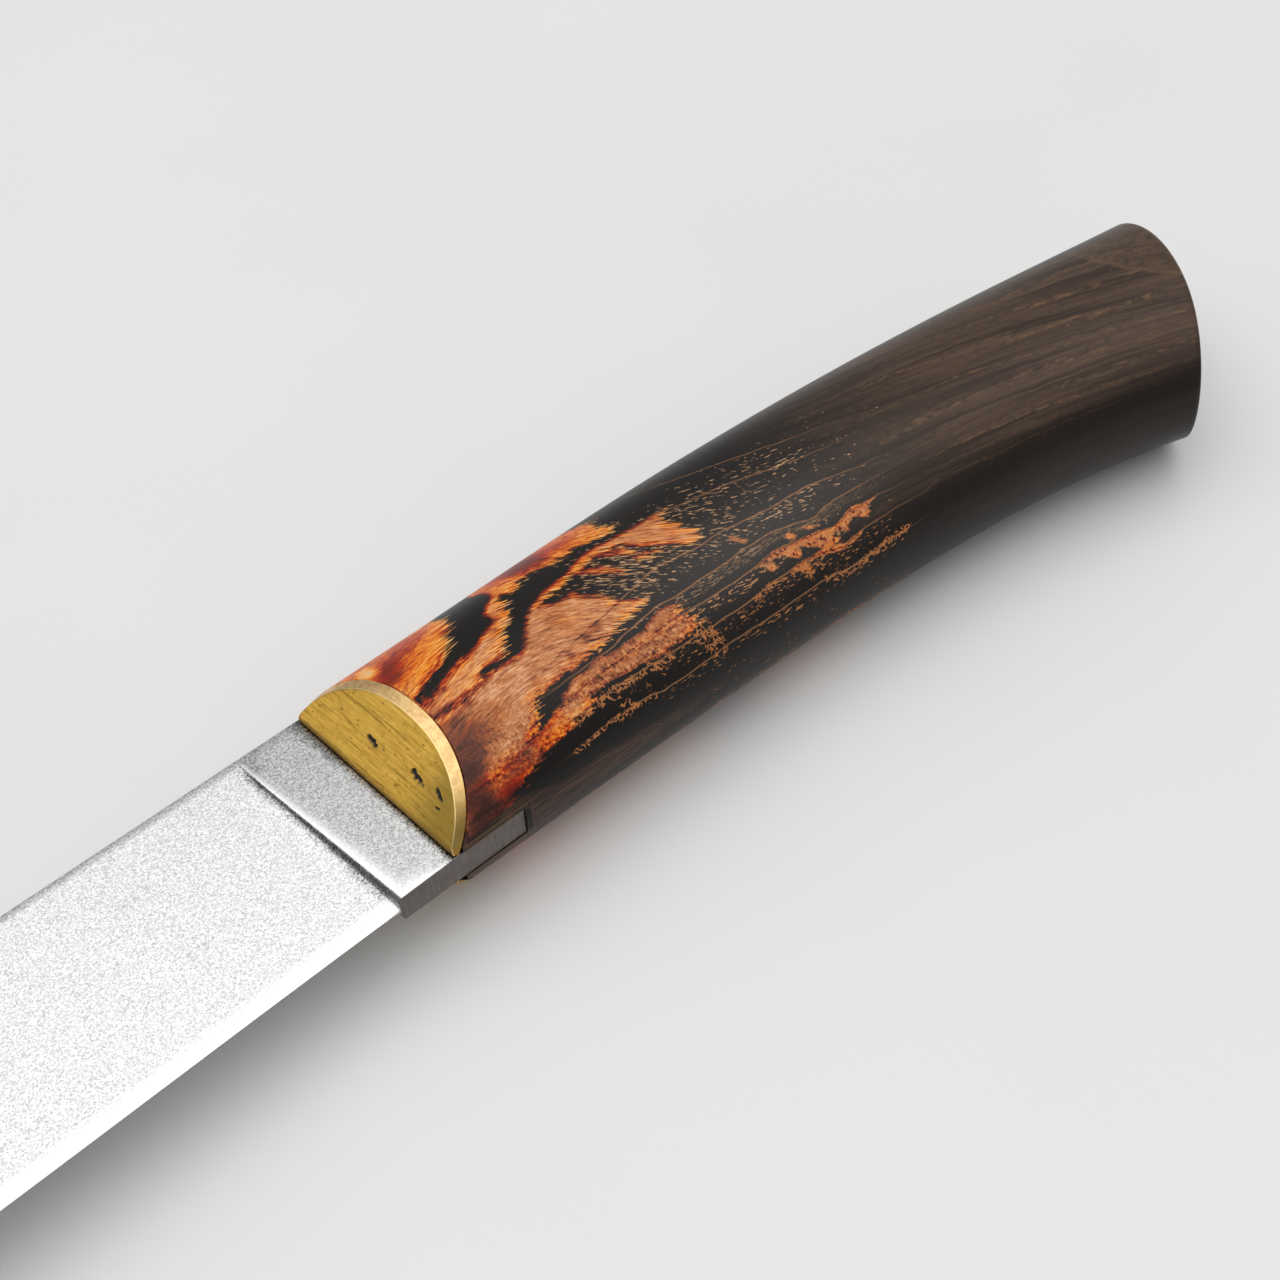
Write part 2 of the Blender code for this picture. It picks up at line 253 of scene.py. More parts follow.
def bridge_rings(form, rings):
    for ring, following in zip(rings, rings[1:]):
        count = len(ring)
        for i in range(count):
            j = (i + 1) % count
            form.faces.new((ring[i], ring[j], following[j], following[i]))


def close_ring(form, ring, place):
    """Close a ring with a fan of triangles round one point."""
    middle = form.verts.new(place)
    for i, corner in enumerate(ring):
        form.faces.new((corner, ring[(i + 1) % len(ring)], middle))


def link(name, data):
    item = bpy.data.objects.new(name, data)
    bpy.context.scene.collection.objects.link(item)
    return item


def smooth(mesh, sharp):
    mesh.shade_smooth()
    mesh.set_sharp_from_angle(angle=radians(sharp))


def form_mesh(name, form):
    mesh = bpy.data.meshes.new(name)
    form.to_mesh(mesh)
    form.free()
    return mesh


def finish_form(name, form, sharp=SHARP_DEGREES):
    """Turn a bmesh into an object at the knife's place in the frame."""
    bmesh.ops.remove_doubles(form, verts=form.verts, dist=WELD)
    bmesh.ops.dissolve_degenerate(form, edges=form.edges, dist=WELD)
    bmesh.ops.recalc_face_normals(form, faces=form.faces)
    mesh = form_mesh(name, form)
    smooth(mesh, sharp)
    item = link(name, mesh)
    item.location = ROOT
    return item


def cut_with(item, steps):
    """Apply Booleans for good; steps are pairs of operation and tool."""
    for operation, tool in steps:
        cut = item.modifiers.new(tool.name, "BOOLEAN")
        cut.operation = operation
        cut.object = tool
        cut.solver = "EXACT"
    bpy.context.view_layer.update()
    shape = item.evaluated_get(bpy.context.evaluated_depsgraph_get())
    mesh = bpy.data.meshes.new_from_object(shape)
    item.modifiers.clear()
    item.data = mesh
    smooth(mesh, SHARP_DEGREES)


def place_piece(item, slot, node, *materials):
    for material in materials:
        item.data.materials.append(material)
    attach(item, "root")
    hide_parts(node)


def store(mesh, **marks):
    """Keep values or vectors at a mesh's points, for its material."""
    for name, values in marks.items():
        kind, key = ("FLOAT", "value") if values.ndim == 1 else ("FLOAT_VECTOR", "vector")
        layer = mesh.attributes.new(name, kind, "POINT")
        layer.data.foreach_set(key, values.astype(np.float32).ravel())


def mesh_points(mesh):
    return np.array([vertex.co for vertex in mesh.vertices])


# Blade


def face_half(run, y, spine, edge):
    """Half thickness at one height, before the corners are rounded."""
    ground = grind_share(run)
    tip_fade = min((spine - edge) / BLADE_HEIGHT, 1.0) ** TIP_THINNING_POWER
    taper = 1 - DISTAL_TAPER * max(run, 0.0) / (BLADE_LENGTH - RICASSO_LENGTH)
    spine_half = HALF_THICKNESS * taper * tip_fade
    bevel_half = blend(HALF_THICKNESS, EDGE_BEVEL_THICKNESS / 2, ground) * tip_fade
    edge_half = HALF_THICKNESS * (1 - ground)
    bevel = edge + EDGE_BEVEL_WIDTH * tip_fade
    if y < bevel:
        return blend(edge_half, bevel_half, (y - edge) / (bevel - edge))
    return blend(bevel_half, spine_half, (y - bevel) / (spine - bevel))


def edge_roll(run, share):
    """How far the ricasso's face falls away towards the plunge and the belly."""
    if run > 0 or run < -RICASSO_LENGTH:
        return 0.0
    width = blend(ROLL_WIDTH, ROLL_LEAST_WIDTH, share)
    towards_plunge = clamp(1 + run / width)
    towards_belly = clamp(1 - share * BLADE_HEIGHT / ROLL_WIDTH) * clamp(1 + run / RICASSO_LENGTH)
    return ROLL_DEPTH * max(towards_plunge, towards_belly) ** 2 * blend(1.0, 0.3, share)


def blade_section(run):
    """Half a section as (share of the height, y, z), from the spine to the edge."""
    ahead = RICASSO_LENGTH + run
    spine = spine_height(ahead)
    edge = edge_height(ahead) if ahead > 0 else -HALF_HEIGHT
    height = spine - edge
    ground = grind_share(run)
    thin = min(height / BLADE_HEIGHT, 1.0)
    top = CORNER_RADIUS * thin
    bottom = CORNER_RADIUS * (1 - ground) * thin
    half = face_half(run, spine, spine, edge)
    corner = bends(CORNER_STEPS)
    points = [(spine - top * (1 - cos(b)), half - top * (1 - sin(b))) for b in corner]
    bevel = EDGE_BEVEL_WIDTH * thin ** TIP_THINNING_POWER
    rows = [blend(spine - top, edge + bevel, row / FACE_ROWS) for row in range(1, FACE_ROWS)]
    rows += [blend(edge + bevel, edge + bottom, row / CORNER_STEPS) for row in range(CORNER_STEPS)]
    for y in rows:
        points.append((y, face_half(run, y, spine, edge) - edge_roll(run, (y - edge) / height)))
    low = face_half(run, edge + bottom, spine, edge) - edge_roll(run, 0.0)
    low = blend(low, face_half(run, edge, spine, edge), ground)
    points += [(edge + bottom * (1 - sin(b)), low - bottom * (1 - cos(b))) for b in corner]
    return [((y - edge) / height, y, z) for y, z in points]


def blade_runs():
    """Distances ahead of the plunge, closest together round it."""
    runs = [-RICASSO_LENGTH - HEEL_DEPTH * i / HEEL_STEPS for i in range(HEEL_STEPS, 0, -1)]
    runs += [-RICASSO_LENGTH * (1 - i / RICASSO_STEPS) ** STEP_POWER for i in range(RICASSO_STEPS)]
    runs += [PLUNGE_WALL_RUN * i / WALL_STEPS for i in range(WALL_STEPS + 1)]
    for bend in bends(PLUNGE_STEPS)[1:]:
        runs.append(PLUNGE_WALL_RUN + PLUNGE_RADIUS * (1 - cos(bend)))
    start = runs[-1]
    reach = BLADE_LENGTH - RICASSO_LENGTH
    runs += [blend(reach, start, (1 - i / BLADE_STEPS) ** STEP_POWER) for i in range(1, BLADE_STEPS)]
    return runs


def mirrored_ring(form, half):
    """A ring from its left half, which runs from the spine to the edge."""
    left = [form.verts.new(point) for point in half]
    return left + [form.verts.new((x, y, -z)) for x, y, z in reversed(half)]


def blade_ring(form, run):
    ahead = RICASSO_LENGTH + run
    if run > 0:
        lean = PLUNGE_LEAN * (BLADE_LENGTH - ahead) / (BLADE_LENGTH - RICASSO_LENGTH)
    else:
        lean = PLUNGE_LEAN * clamp(ahead / RICASSO_LENGTH)
    return mirrored_ring(form, [(-ahead - lean * share, y, z) for share, y, z in blade_section(run)])


def tang_ring(form, share):
    """A section of the tang with as many points as the blade's."""
    x = blend(HEEL_DEPTH, HANDLE_LENGTH - TANG_COVER, share)
    scale = blend(TANG_ROOT_HEIGHT, TANG_END_HEIGHT, share) / BLADE_HEIGHT
    heel = blade_section(-RICASSO_LENGTH - HEEL_DEPTH)
    return mirrored_ring(form, [(x, y * scale, z) for _, y, z in heel])


def make_blade():
    form = bmesh.new()
    rings = [tang_ring(form, share) for share in (1.0, 0.0)]
    form.faces.new(rings[0])
    rings += [blade_ring(form, run) for run in blade_runs()]
    bridge_rings(form, rings)
    close_ring(form, rings[-1], (-BLADE_LENGTH, TIP_RISE, 0.0))
    item = finish_form("blade_steel", form)
    # Faces turned down at the heel get the darker ground steel, which is partly painted shade.
    facing_down = -0.9
    for face in item.data.polygons:
        if face.normal.y < facing_down and face.center.x > -RICASSO_LENGTH - PLUNGE_WALL_RUN:
            face.material_index = 1
    paint_blade(item.data)
    return item


def blade_soil(x, y, run, rise):
    """Painted shade by the bolster and at the foot of the plunge, with grime there and near the spine.
    """
    # Darker against the bolster and at the foot of the plunge: painted shade, partly grime.
    dirt_width = 0.0016 + 0.0014 * ease(rise, 0.4, 1.0)
    chord = np.clip(1 + x / dirt_width, 0, 1) ** 1.6
    foot_width = 0.0032 - 0.0018 * rise
    thinning = np.clip(1 - (run - 0.0005) / foot_width, 0, 1) ** 2
    foot = ease(run, 0.00002, 0.0001) * np.where(run < 0.0003, 1.0, 0.62 * thinning)
    foot = foot * fade(rise, 0.8, 0.98)
    blotch = np.exp(-((run + 0.0004) / 0.0016) ** 2 - ((y - 0.0115) / 0.0022) ** 2)
    wash = np.exp(-((run + 0.003) / 0.004) ** 2) * ease(rise, 0.5, 1.0)
    return np.clip(chord + foot + 0.42 * blotch + 0.25 * wash, 0, 1)


def blade_polish(x, y, run, rise):
    """Brighter steel: the edge bevel, rubbed bright, and painted highlights on the ricasso's rolled
    front and belly edges.
    """
    edge = np.array([edge_height(max(-v, 0.0)) for v in x])
    strip = fade(y - edge, EDGE_BEVEL_WIDTH, EDGE_BEVEL_WIDTH * 1.4)
    strip = strip * ease(-x - RICASSO_LENGTH, 0.0, 0.001)
    front_width = 0.0026 - 0.0018 * rise
    belly_width = 0.003
    front = np.clip(1 + run / front_width, 0, 1)
    belly = np.clip(1 - rise * BLADE_HEIGHT / belly_width, 0, 1) * ease(run, -0.0068, -0.003)
    return np.where(run > 0, strip, 1.4 * np.maximum(front, belly) ** 1.3)


def paint_blade(mesh):
    x, y, _ = mesh_points(mesh).T
    rise = (y + HALF_HEIGHT) / BLADE_HEIGHT
    run = -x - RICASSO_LENGTH - PLUNGE_LEAN * rise
    store(mesh, soil=blade_soil(x, y, run, rise), polish=blade_polish(x, y, run, rise))


# Bolster plates


def plate_edge(plane, inset):
    """The plate's outline on a slanted plane, from the spine to the belly."""
    half = HANDLE_FRONT_WIDTH / 2 - inset
    first = asin((PLATE_LOW / half) ** (SECTION_POWER / 2))
    edge = []
    for i in range(PLATE_COLUMNS + 1):
        up, out = section(blend(first, pi - first, i / PLATE_COLUMNS))
        point = grip_point(plane(half * out), up, out, inset)
        point.x = plane(point.z)
        edge.append(point)
    return edge


def lip_front(z):
    return plate_front(max(z, HALF_THICKNESS + BOLSTER_LIP))


# Casting pits in millimetres: points along a pit as (height, rise from the ricasso), half its
# width, and a seed
PITS_MM = (
    (((3, 5.1), (2.3, 5), (1.9, 4.8)), 0.37, 3),
    (((0.5, 5.05), (0.3, 5.05)), 0.12, 5),
    (((-4.5, 5.4), (-5.3, 5.2), (-5.8, 5.1)), 0.4, 8),
    (((-6.1, 5), (-6.6, 4.9)), 0.14, 9),
    (((-8.5, 5.5), (-9, 5.3), (-9.4, 5.1)), 0.33, 11),
    (((-9.4, 3.9), (-9.8, 4.1)), 0.13, 14),
)


def pit_depth(y, rise):
    """Depth share of the ragged casting pits at a place on the face."""
    deepest = 0.0
    place = Vector((y, rise)) * 1000
    for line, half_width, seed in PITS_MM:
        if (place - Vector(line[0])).length > PIT_REACH_MM:
            continue
        reach = PIT_REACH_MM
        for start, end in zip(line, line[1:]):
            along = Vector(end) - Vector(start)
            share = clamp((place - Vector(start)).dot(along) / along.length_squared)
            reach = min(reach, (place - Vector(start) - along * share).length)
        ragged = 0.75 * noise.noise(Vector((y * 2100, rise * 2100, seed)))
        deepest = max(deepest, smooth_step((1.15 - reach / half_width + ragged) / 0.5))
    return deepest


def plate_columns(vert, side):
    """The pitted face, in columns from the ricasso to the rounded edge."""
    columns = []
    for end in plate_edge(lip_front, BOLSTER_RIM_TAPER + BOLSTER_EDGE_RADIUS):
        column = []
        for row in range(PLATE_ROWS + 1):
            z = blend(PLATE_LOW + BOLSTER_LIP, end.z, (row - 1) / (PLATE_ROWS - 1))
            z = min(z if row else PLATE_LOW, end.z)
            rise = (z - HALF_THICKNESS) / SLANT_COS
            sunk = PIT_DEPTH * pit_depth(end.y * side, rise)
            column.append(vert(Vector((lip_front(z) + sunk, end.y, z))))
        columns.append(column)
    return columns


def plate_loops(vert, columns):
    """Loops from the face round the edge, down the back and to its foot."""
    loops = [[column[-1] for column in columns]]
    for bend in bends(CORNER_STEPS)[1:]:
        edge = plate_edge(lip_front, BOLSTER_RIM_TAPER + BOLSTER_EDGE_RADIUS * (1 - sin(bend)))
        shift = BOLSTER_EDGE_RADIUS * (1 - cos(bend)) / SLANT_COS
        loops.append([vert(point + Vector((shift, 0, 0))) for point in edge])
    back = plate_edge(plate_back, 0.0)
    loops.append([vert(point) for point in back])
    loops.append([vert(Vector((plate_back(PLATE_LOW), point.y, PLATE_LOW))) for point in back])
    loops.append([column[0] for column in columns])
    return loops


def paint_plate(mesh, side):
    """Mark the pits, the lip at the ricasso and the rim."""
    x, y, z = mesh_points(mesh).T
    z = z * side
    rise = (z - HALF_THICKNESS) / SLANT_COS
    pit = np.array([pit_depth(*place) for place in zip(y * side, rise)])
    lip = HALF_THICKNESS + BOLSTER_LIP
    behind = ease(x - np.array([lip_front(v) for v in z]), 0.00006, 0.00012)
    outer = np.hypot(y / HALF_HEIGHT, z / (HANDLE_FRONT_WIDTH / 2)) > 0.9
    rim = np.where(outer, behind * (1 - pit), 0.0)
    store(mesh, pit=pit, lip=fade(z, lip - 0.0001, lip + 0.00005), rim=rim)


def make_bolster(name, side):
    form = bmesh.new()

    def vert(point):
        return form.verts.new((point.x, point.y, side * point.z))

    columns = plate_columns(vert, side)
    for left, right in zip(columns, columns[1:]):
        for row in range(PLATE_ROWS):
            form.faces.new((left[row], right[row], right[row + 1], left[row + 1]))
    loops = plate_loops(vert, columns)
    for loop, following in zip(loops, loops[1:]):
        for i in range(PLATE_COLUMNS):
            form.faces.new((loop[i], loop[i + 1], following[i + 1], following[i]))
    for index in (0, -1):
        form.faces.new([loop[index] for loop in loops[:-1]] + columns[index][:-1])
    item = finish_form(name, form, PLATE_SHARP_DEGREES)
    paint_plate(item.data, side)
    return item


# Handle


def front_x(up, out):
    """Where the wood starts: slanted behind the plate, straight at the slot."""
    x = 0.0
    for _ in range(4):
        x = wood_front(max(abs(grip_width(x) / 2 * out), HALF_THICKNESS + SEAM))
    return x


def grip_rings():
    """Rings along the handle, round the edge of the butt and over its dome."""
    sections = [section(2 * pi * i / GRIP_SIDES) for i in range(GRIP_SIDES)]
    ends = [butt_end(up, out) - BUTT_EDGE_RADIUS for up, out in sections]
    starts = [front_x(up, out) for up, out in sections]
    rings = []
    for i in range(GRIP_RINGS + 1):
        rings.append([
            grip_point(blend(start, end, i / GRIP_RINGS), up, out)
            for (up, out), start, end in zip(sections, starts, ends)
        ])
    for bend in bends(RIM_STEPS)[1:]:
        inset = BUTT_EDGE_RADIUS * (1 - cos(bend))
        rings.append([grip_point(end, up, out, inset) for (up, out), end in zip(sections, ends)])
        for point in rings[-1]:
            point.x += BUTT_EDGE_RADIUS * sin(bend)
    middle = Vector((butt_end(0.0, 0.0), grip_axis(HANDLE_LENGTH), 0.0))
    rim = rings[-1]
    for step in range(1, DOME_STEPS):
        share = 1 - step / DOME_STEPS
        rings.append([middle.lerp(edge, share) for edge in rim])
        for (up, out), point in zip(sections, rings[-1]):
            point.x = butt_end(up, out, share)
    return rings, middle


def grip_form():
    form = bmesh.new()
    rings, middle = grip_rings()
    rings = [[form.verts.new(point) for point in ring] for ring in rings]
    bridge_rings(form, rings)
    close_ring(form, rings[-1], middle)
    half = GRIP_SIDES // 2
    first = rings[0]
    for i in range(half // 2):
        left = (first[i], first[i + 1], first[half - i - 1], first[half - i])
        right = (first[-i], first[half + i], first[half + i + 1], first[-i - 1])
        form.faces.new(dict.fromkeys(left))
        form.faces.new(dict.fromkeys(right))
    return form


def slot_block(name, front, half_height, clearance, tang_clearance):
    """Heel slot and tang hole as one block, larger than the steel."""
    depth = HEEL_DEPTH + clearance
    end = HANDLE_LENGTH - TANG_COVER + tang_clearance
    root_half = TANG_ROOT_HEIGHT / 2 + tang_clearance
    end_half = TANG_END_HEIGHT / 2 + tang_clearance
    upper = [(front, half_height), (depth, half_height), (depth, root_half), (end, end_half)]
    outline = upper + [(x, -y) for x, y in reversed(upper)]
    half = HALF_THICKNESS + clearance
    form = bmesh.new()
    bottom = [form.verts.new((x, y, -half)) for x, y in outline]
    top = [form.verts.new((x, y, half)) for x, y in outline]
    form.faces.new(bottom)
    form.faces.new(top)
    bridge_rings(form, [bottom, top])
    return finish_form(name, form)


def make_handle_and_resin():
    tools = [
        slot_block("slot_tool", TOOL_START, BLADE_HEIGHT, SEAM, TANG_BED),
        slot_block("steel_tool", TOOL_START, BLADE_HEIGHT * 2, RESIN_CLEARANCE, RESIN_CLEARANCE),
        finish_form("grip_tool", grip_form()),
    ]
    slot, steel, grip = tools
    handle = finish_form("handle_wood", grip_form())
    cut_with(handle, [("DIFFERENCE", slot)])
    front = wood_front(HALF_THICKNESS + SEAM)
    inner = SEAM - RESIN_CLEARANCE
    resin = slot_block("resin_seam", front, BLADE_HEIGHT, inner, TANG_BED - RESIN_CLEARANCE)
    cut_with(resin, [("DIFFERENCE", steel), ("INTERSECT", grip)])
    for tool in tools:
        bpy.data.objects.remove(tool, do_unlink=True)
    paint_figure(handle.data)
    return handle, resin


# Figure of the wood, drawn on the skin of the handle: millimetres from the bolster line, and
# degrees round from the spine over the left side to the belly.

MM_PER_DEGREE = 0.25

WARM_PATCHES = (
    # Beside the bolster, at the spine
    ((2, -8), (12.5, -8), (14.4, 4), (13.2, 13), (15.8, 20), (14.8, 29), (17.2, 37), (18.2, 45),
     (18.2, 58), (17.6, 63), (16, 65.5), (16.2, 69), (15.2, 73.5), (14.4, 77), (13.2, 80), (11, 83),
     (9, 86.3), (7, 89.4), (2, 92)),
    # The band under the first black streak, and up a neck into the patch on the spine
    ((2, 95), (7, 92.5), (9, 91), (10.5, 89.3), (12, 87.3), (14, 85.5), (16, 84.3), (17.5, 82.5),
     (19, 79), (20.2, 77.3), (21, 73), (21.4, 68), (22.6, 64), (23.5, 61.5), (24.2, 56), (24, 50),
     (22.9, 42), (23.8, 33), (25.8, 24), (24.8, 14), (27.2, 5), (26.4, -8), (35, -8), (34, 5),
     (37.2, 13), (36, 22), (39.4, 29), (38.4, 37), (40.3, 45), (41, 52), (40.5, 60), (41.4, 67),
     (40.8, 70.5), (39, 69.3), (37.5, 67), (36, 64.5), (34.5, 66.3), (32.8, 65), (31, 62.5), (29.5, 61),
     (28, 60.5), (27.8, 64), (27, 66.7), (25.8, 66.3), (24.9, 63.2), (24.1, 63), (24.4, 70), (23.8, 75),
     (22.9, 80.5), (21.4, 83.6), (20.5, 86.2), (20.4, 89), (19.4, 91), (19, 93.6), (17.4, 94.6),
     (16, 93.8), (14.5, 97.3), (12.6, 99), (9, 101), (2, 101)),
    # The large field below the second streak, with its lens at the far end
    ((2, 100), (9, 100.5), (12, 100.5), (14, 99), (16, 97), (18, 97), (20, 97.5), (21, 95.5), (22, 92),
     (23.5, 87.5), (24.5, 84), (26, 81), (28, 78.7), (30, 77.5), (32, 76.7), (34, 74), (36, 72.3),
     (38, 72.8), (40, 74.5), (43, 75.5), (46, 76.5), (47.6, 78.5), (46.3, 80.5), (45.8, 84), (46.8, 90),
     (47.5, 96), (47, 99.5), (45.5, 99), (44, 95.5), (42.5, 91.5), (41, 88), (40, 83.5), (38.8, 80),
     (37.5, 79.3), (36, 78), (35, 79.5), (33, 80), (30.5, 82), (28.5, 82.6), (26.2, 84), (27.5, 86.5),
     (30, 88), (31, 91), (32.2, 95), (33, 99), (33.2, 102.5), (34, 105), (35.2, 107.5), (36.5, 110.5),
     (35, 111.5), (33.5, 112), (31.5, 114), (30, 116.5), (27.5, 117.5), (24, 118.5), (21, 118.5),
     (19, 119.5), (17.5, 121.5), (17, 124), (16.6, 128), (16.2, 131), (15.4, 134), (14, 138.6),
     (9, 142.4), (2, 145)),
    # Two bands under the field
    ((19.4, 126.2), (21, 125.4), (22.5, 122.8), (24.5, 123.4), (26, 120.3), (27.5, 122.6), (30, 123),
     (33, 122.5), (34.5, 119.5), (36, 118), (37.5, 119), (38.5, 121), (38.3, 124), (37.6, 128),
     (35, 129), (33, 129.6), (30, 130), (27, 130), (24, 130), (21.5, 131), (20, 131.4), (18, 131.6),
     (20.4, 128.4)),
    ((2, 143.6), (9, 141), (14, 137.6), (16, 135.6), (18, 133), (20, 131), (23, 129.5), (27, 129.2),
     (31, 129.4), (34, 128.3), (37, 127.8), (38.5, 129), (39.3, 132), (39, 135.5), (37.5, 138),
     (35, 139), (33, 139.3), (31, 138.5), (30, 136.5), (28, 136.5), (26, 135.3), (24, 135.8),
     (22.4, 135.4), (22.4, 138), (24, 139.6), (22, 141.5), (20.5, 142), (19, 144), (16.5, 146.5),
     (14, 148.4), (12.5, 151), (10.8, 154.5), (8, 161), (2, 168)),
    # Far down the side, hanging from a growth line
    ((48.5, 128.4), (50, 127.4), (52, 126.8), (54, 127.1), (56, 128.4), (58, 130), (59.5, 131.8),
     (60.7, 133.5), (61.6, 133), (62.6, 131), (63.6, 130), (65, 129.5), (66.6, 130.4), (68.4, 131.3),
     (66.8, 132.6), (66.5, 135), (66, 138.4), (65.1, 136.6), (64.2, 134), (63.4, 134.2), (62.9, 137),
     (62.4, 140.4), (61.7, 137.6), (60.9, 136.2), (60.3, 137.2), (61, 141), (59.6, 141.4),
     (58.3, 140.2), (57.3, 136.6), (56.2, 133.2), (55.5, 132.2), (55.4, 135), (54.9, 138), (54, 135.2),
     (53.4, 131.4), (52, 130.2), (50, 129.8)),
    ((54.7, 122.4), (55.6, 122.2), (56.3, 126), (55.4, 127.2)),
    ((57, 123.2), (58.2, 123.8), (59.9, 128.4), (58.6, 127.6)),
    ((50.2, 131.4), (51.4, 131.2), (52, 135.4), (50.8, 136)),
    ((49.2, 108.5), (50, 107.6), (51.2, 114.2), (50.4, 114.6)),
    ((52.5, 140.4), (56, 140.2), (58.4, 140.8), (60, 142.4), (61.4, 144.4), (63, 143.8), (65.2, 141.2),
     (63.6, 145), (62, 147.2), (60.6, 147.4), (59, 145.2), (57.4, 143.2), (55.5, 142.6), (55.7, 146),
     (55.2, 150), (54.3, 146.5), (53.6, 143.2)),
    # Fingers that run out into the black
    ((32.2, 79.8), (33.4, 79.4), (35.6, 85), (37.4, 92.8), (36.8, 93.2), (34.2, 87)),
    ((36, 78), (37.2, 78.4), (39.2, 84), (40, 88.6), (39.2, 88.8), (37.6, 83.6)),
    ((38.6, 90.6), (40, 90), (42.4, 92.8), (42, 94), (39.4, 92.8)),
)

# Places with their own tone: (millimetres, degrees, radius in millimetres, tone, weight)
TONE_SPOTS = (
    (8, 69, 2, 0.24, 1), (9.5, 62, 2.2, 0.28, 1), (12, 55, 2.2, 0.42, 0.9),
    (13.5, 47, 2.2, 0.52, 0.8), (7, 55, 1, 1.25, 1), (7.4, 48, 0.9, 1.15, 0.9),
    (30.5, 38, 3.4, 0.36, 1), (29.5, 22, 3, 0.44, 0.8), (31.5, 6, 3, 0.5, 0.8),
    (10, 26, 3, 0.5, 0.8), (7, 8, 3, 0.56, 0.8), (31, 51, 3.2, 0.3, 1),
    (35.5, 55, 2.2, 0.44, 0.8), (8, 96, 1.6, 0.42, 0.7), (8.5, 111, 2.4, 0.34, 1),
    (12.8, 112, 2, 0.52, 0.9), (8.5, 119, 2.6, 0.28, 1), (6.5, 128, 2.8, 0.2, 1),
    (11, 122, 1.6, 0.42, 0.7), (5.6, 138, 2.4, 0.2, 1), (5, 150, 2.6, 0.16, 1),
    (10.5, 147.5, 2.4, 0.34, 0.9), (6.5, 162, 2.8, 0.08, 1), (9.2, 156, 1.6, 0.14, 1),
    (4, 168, 3.4, 0.07, 1), (58, 133, 5, 0.78, 0.8), (65, 133, 3, 0.66, 0.8),
    (57, 145, 4, 0.6, 0.8), (17, 139.5, 2.2, 0.52, 0.8), (13.5, 143.5, 2.6, 0.38, 0.9),
    (14, 103, 1.8, 0.95, 0.7), (15, 90, 5, 0.84, 0.8), (22, 110, 6, 0.66, 0.6),
    (25, 127, 4.5, 0.58, 0.8), (34, 130, 4.5, 0.58, 0.8), (43.5, 87, 4.5, 0.66, 0.8),
    (12.5, 77, 3.4, 0.64, 0.8), (21, 75, 0.8, 0.12, 1), (24.3, 112, 0.6, 0.2, 0.9),
    (27.2, 109.6, 0.6, 0.24, 0.9), (29, 107, 0.8, 0.3, 0.8), (11.3, 103, 0.6, 0.24, 0.8),
    (19, 113, 0.7, 0.42, 0.8), (26, 94, 1.6, 0.56, 0.7), (22.5, 99, 1.4, 0.58, 0.7),
    (17.5, 106, 1.4, 0.9, 0.7), (16.5, 105.5, 1, 0.5, 0.6),
)

# Places that are a clear orange instead of a dusty tan: (millimetres, degrees, radius, share)
FIRE_SPOTS = (
    (10, 30, 16, 1), (32, 30, 13, 1), (12, 73, 4, 0.9), (37, 66, 3, 0.6), (16.5, 140, 3, 0.7),
    (9.5, 147, 3.4, 0.6), (10.5, 95, 2.2, 0.35), (23, 71, 2.5, 0.35), (15, 90, 3, 0.15),
    (28, 98, 3, 0.3), (43, 84, 4, 0.2), (12, 114, 3, 0.25), (59, 134, 9, 0.3),
)

# Growth lines, from the spine to the belly
GROWTH_LINES = (
    ((45, 41), (50, 56), (54, 65), (58, 71), (65, 80), (80, 92), (130, 118)),
    ((46, 77.6), (50, 81.2), (55, 84.5), (60, 89), (64, 92), (80, 101), (130, 124)),
    ((20, 112), (29, 106), (34, 104), (38, 101), (40, 100), (45, 103), (50, 103.5), (54, 105.5),
     (58, 107), (62, 107), (66, 110), (70, 113), (130, 134)),
    ((17, 122), (28, 121.5), (33, 118), (36, 116.5), (39, 118), (46, 118), (50, 117), (54, 117.5),
     (57, 120), (60, 123.5), (62, 121), (70, 122), (130, 142)),
    ((14, 138), (18, 133), (21, 130.5), (25, 128.8), (33, 128), (36, 126.8), (42, 128.5), (50, 128),
     (53, 127.5), (56, 129), (61.5, 133.5), (64, 130.5), (72, 132), (130, 150)),
    ((10, 147), (21, 139.5), (30, 140), (34, 141.5), (46, 142.5), (50, 140.5), (55, 140), (58, 142),
     (61, 146), (64, 143), (70, 143), (130, 158)),
    ((10, 163), (15, 158.5), (22, 155), (29, 155), (31, 158), (36, 158.5), (42, 157), (50, 158),
     (56, 157), (60, 160), (72, 158), (130, 170)),
)

# Tufts of curled pores: points along a tuft, and its half width in millimetres
LACE_BANDS = (
    (((20, 144), (25.4, 141), (30, 142), (34, 143)), 0.45),
    (((25.4, 140), (25.6, 148), (26.4, 154)), 0.4),
    (((31, 140), (32, 148)), 0.4),
    (((38.8, 140), (39.4, 148), (39.8, 156)), 1.1),
    (((47, 143), (50, 141), (53, 143)), 0.35),
    (((54, 141), (54.6, 145), (55.4, 149)), 0.45),
    (((56.2, 146), (57.2, 150)), 0.35),
    (((57, 158), (60, 162), (66, 160), (70, 158)), 0.5),
    (((18, 158), (24, 155), (30, 157)), 0.3),
)

# The pale corner at the butt
PALE_CORNER = (
    (121.6, -8), (121.2, 40), (121, 70), (122, 84), (125.4, 96), (131, 98), (140, 92), (140, -8),
)

# Dip of the fibres: millimetres along the handle, and millimetres towards the belly for each one
FIBRE_DIPS = (
    (0, -0.3), (8, -0.3), (14, -0.2), (20, 0.12), (28, 0.5), (34, 0.75), (46, 0.75), (54, 0.4),
    (66, 0.2), (90, 0.12), (140, 0.1),
)

# Upper bound of the brown fibres along the belly
UMBER_BOUND = ((4, 152), (10, 160), (16, 169), (22, 169), (30, 173), (50, 178))


